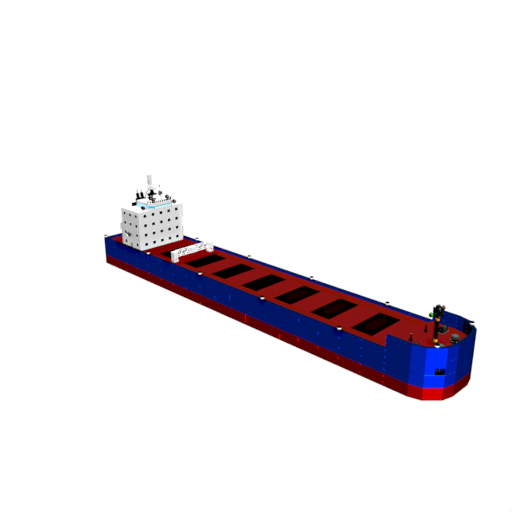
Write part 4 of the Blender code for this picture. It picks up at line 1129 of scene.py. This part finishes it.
def capstan_trim():
    """Whelps, pawls and cap on each capstan, and the trim of the bow post beside it."""
    for side, sign in SIDES:
        place = (CAPSTAN_PLACE[0], sign * CAPSTAN_PLACE[1], FORE_DECK + GAP)
        whelps, pawls, cap = shapes(3)
        rows = ((whelps, 8, 22.5, (0.120, -0.012, 0.132), (0.133, 0.012, 0.228)),
                (pawls, 6, -40, (0.104, -0.014, 0.052), (0.152, 0.014, 0.072)))
        for shape, count, first, low, high in rows:
            for k in range(count):
                turn = Matrix.Rotation(math.radians(360 / count * k + first), 4, "Z")
                slab(shape, low, high, Matrix.Translation(place) @ turn)
        button = ((0.0, 0.258), (0.050, 0.259), (0.046, 0.268), (0.018, 0.274), (0.0, 0.275))
        lathe(cap, button, place, sides=16)
        body = f"capstan_{side}"
        finish_piece(f"capstan_whelps_{side}", whelps, CAPSTAN, body=body, bevel=0.002)
        finish_piece(f"capstan_pawls_{side}", pawls, GOLD, body=body, bevel=0.003)
        finish_piece(f"capstan_cap_{side}", cap, GREEN_GREY, body=body)
        bow_post_trim(side, sign)


def bow_post_trim(side, sign):
    """A sleeve and a tip on a bow post."""
    tip, sleeve = shapes(2)
    place = (BOW_POST[0], sign * BOW_POST[1], FORE_DECK + GAP)
    lathe(tip, ((0.0, 0.270), (0.012, 0.272), (0.014, 0.284), (0.009, 0.296), (0.0, 0.299)), place, sides=16)
    finish_piece(f"bow_post_tip_{side}", tip, PALE_GREY if sign < 0 else BLACK)
    profile = ((0.057, 0.0), (0.066, 0.004), (0.066, 0.060), (0.050, 0.080), (0.030, 0.092),
               (0.030, 0.262), (0.014, 0.280))
    lathe(sleeve, profile, place, sides=16)
    finish_piece(f"bow_post_sleeve_{side}", sleeve, BLACK)


def windlass_trim():
    """Bolts on the beds of the windlasses."""
    bolt = ((0.0, -0.002), (0.010, -0.002), (0.010, 0.006), (0.006, 0.009), (0.0, 0.009))
    for side, sign in SIDES:
        bolts = bmesh.new()
        for x in (-0.10, 0.10):
            for y in (-0.20, -0.10, 0.10, 0.20):
                place = (WINDLASS[0] + x, sign * WINDLASS[1] + y, FORE_DECK + 0.0183)
                lathe(bolts, bolt, place, sides=6)
        finish_piece(f"windlass_bolts_{side}", bolts, BLACK)


# Covers, deck and gantry

def cover_fittings():
    """Flush lifting rings, which go with the covers."""
    ring = ((0.0, -0.002), (0.030, -0.002), (0.030, 0.0025), (0.022, 0.003), (0.020, 0.001), (0.0, 0.001))
    for k in range(7):
        front = HATCH_FRONT - HATCH_STEP * k
        rings = bmesh.new()
        for x in (front - 0.12, front - HATCH_LENGTH + 0.12):
            for y in (-0.80, 0.80):
                lathe(rings, ring, (x, y, DECK), sides=20)
        finish_piece(f"cover_lifting_rings_{k + 1}", rings, COVER, body=f"cover_{k + 1}")


def deck_fittings():
    """Mooring bollards on the aft deck, behind the deckhouse."""
    dark = bmesh.new()
    post = ((0.0, 0.0), (0.026, 0.0), (0.024, 0.055), (0.032, 0.062), (0.032, 0.074), (0.0, 0.080))
    for y in (0.55, 1.15):
        for x in (-9.32, -9.18):
            lathe(dark, post, (x, y, DECK), sides=16)
        slab(dark, (-9.37, y - 0.04, DECK - 0.001), (-9.13, y + 0.04, DECK + 0.008))
    finish_piece("bollards", dark, BLACK)


def gantry_trim():
    """Black sheets that stand for openings at the legs of the gantry, painted shade, and bolts."""
    dark, pale = shapes(2)
    bolt = ((0.0, -0.001), (0.011, -0.001), (0.011, 0.006), (0.0, 0.008))
    for sign in (-1, 1):
        leg, face = sign * LEG_Y, sign * LEG_FACE
        for end in (-1, 1):
            x = GANTRY_X + end * 0.11
            # Painted shade: thin black sheets in place of openings
            slab(dark, (x - 0.002, leg - 0.030, DECK + 0.120), (x + 0.002, leg + 0.030, DECK + 0.170))
            for y in (-0.07, 0.07):
                for z in (0.06, 0.22, 0.43):
                    lathe(pale, bolt, (x, leg + y, DECK + z), (end, 0, 0), 6)
        slab(dark, (GANTRY_X - 0.045, face - 0.002, DECK + 0.055),
             (GANTRY_X + 0.045, face + 0.002, DECK + 0.095))
    finish_piece("gantry_opening_shades", dark, BLACK, body="gantry")
    finish_piece("gantry_bolts", pale, WHITE_GANTRY, body="gantry")


# Floor, light and camera

def stage():
    """A floor that is plain white to the camera and gives the model only soft light from below."""
    shape = bmesh.new()
    reach = 400.0
    corners = ((-reach, -reach), (reach, -reach), (reach, reach), (-reach, reach))
    shape.faces.new([shape.verts.new((x, y, -0.002)) for x, y in corners])
    mesh = bpy.data.meshes.new("floor")
    shape.to_mesh(mesh)
    shape.free()
    floor = add_object("floor", mesh)
    pale = bpy.data.materials.new("floor_pale")
    pale.use_nodes = True
    tree = pale.node_tree
    shader = tree.nodes["Principled BSDF"]
    shader.inputs["Base Color"].default_value = (0.0, 0.0, 0.0, 1.0)
    shader.inputs["Specular IOR Level"].default_value = 0.0
    shader.inputs["Emission Color"].default_value = (1.0, 1.0, 1.0, 1.0)
    rays = tree.nodes.new("ShaderNodeLightPath")
    strength = tree.nodes.new("ShaderNodeMapRange")
    tree.links.new(rays.outputs["Is Camera Ray"], strength.inputs["Value"])
    strength.inputs["To Min"].default_value = AMBIENT
    tree.links.new(strength.outputs["Result"], shader.inputs["Emission Strength"])
    mesh.materials.append(pale)


def softbox(name, height, turn, strength):
    """A distant light without shadows; height and turn are degrees, from level and from the bow to port."""
    lamp = bpy.data.lights.new(name, "SUN")
    lamp.energy = strength * math.pi
    lamp.angle = math.radians(20)
    lamp.use_shadow = False
    height, turn = math.radians(height), math.radians(turn)
    towards = Vector((math.cos(height) * math.cos(turn), math.cos(height) * math.sin(turn), math.sin(height)))
    add_object(name, lamp).rotation_euler = towards.to_track_quat("Z", "Y").to_euler()


def light():
    """A sky that is white to the camera and dim to the model, and two softboxes."""
    world = bpy.data.worlds.new("studio")
    bpy.context.scene.world = world
    world.use_nodes = True
    tree = world.node_tree
    sky, seen = tree.nodes["Background"], tree.nodes.new("ShaderNodeBackground")
    for background, strength in ((sky, AMBIENT), (seen, SKY_SEEN)):
        background.inputs["Color"].default_value = (1.0, 1.0, 1.0, 1.0)
        background.inputs["Strength"].default_value = strength
    rays = tree.nodes.new("ShaderNodeLightPath")
    both = tree.nodes.new("ShaderNodeMixShader")
    tree.links.new(rays.outputs["Is Camera Ray"], both.inputs[0])
    tree.links.new(sky.outputs[0], both.inputs[1])
    tree.links.new(seen.outputs[0], both.inputs[2])
    tree.links.new(both.outputs[0], tree.nodes["World Output"].inputs["Surface"])
    softbox("softbox", height=55, turn=-30, strength=1.45)
    softbox("softbox_behind", height=10, turn=150, strength=0.5)


LENS = 43.456                       # millimetres
CAMERA_PLACE = (17.872, -17.934, 11.390)
CAMERA_LOOK = (-2, 2, -1)           # over the starboard bow


def camera():
    """The camera at the photo's angle."""
    lens = bpy.data.cameras.new("camera")
    lens.lens = LENS
    lens.sensor_width = 36.0
    lens.clip_end = 1000.0
    holder = add_object("camera", lens)
    holder.location = CAMERA_PLACE
    holder.rotation_euler = Vector(CAMERA_LOOK).normalized().to_track_quat("-Z", "Y").to_euler()
    bpy.context.scene.camera = holder
    bpy.context.scene.view_settings.view_transform = "Standard"


def main():
    camera()
    light()
    stage()
    dress_nodes()
    for wall in WALLS:
        windows(wall)
    for make in (house_vents, house_doors, house_outfit, wheelhouse_trim, roof_fittings, searchlights,
                 rail_lamps, foremast_trim, capstan_trim, windlass_trim, cover_fittings, deck_fittings,
                 gantry_trim):
        make()


main()
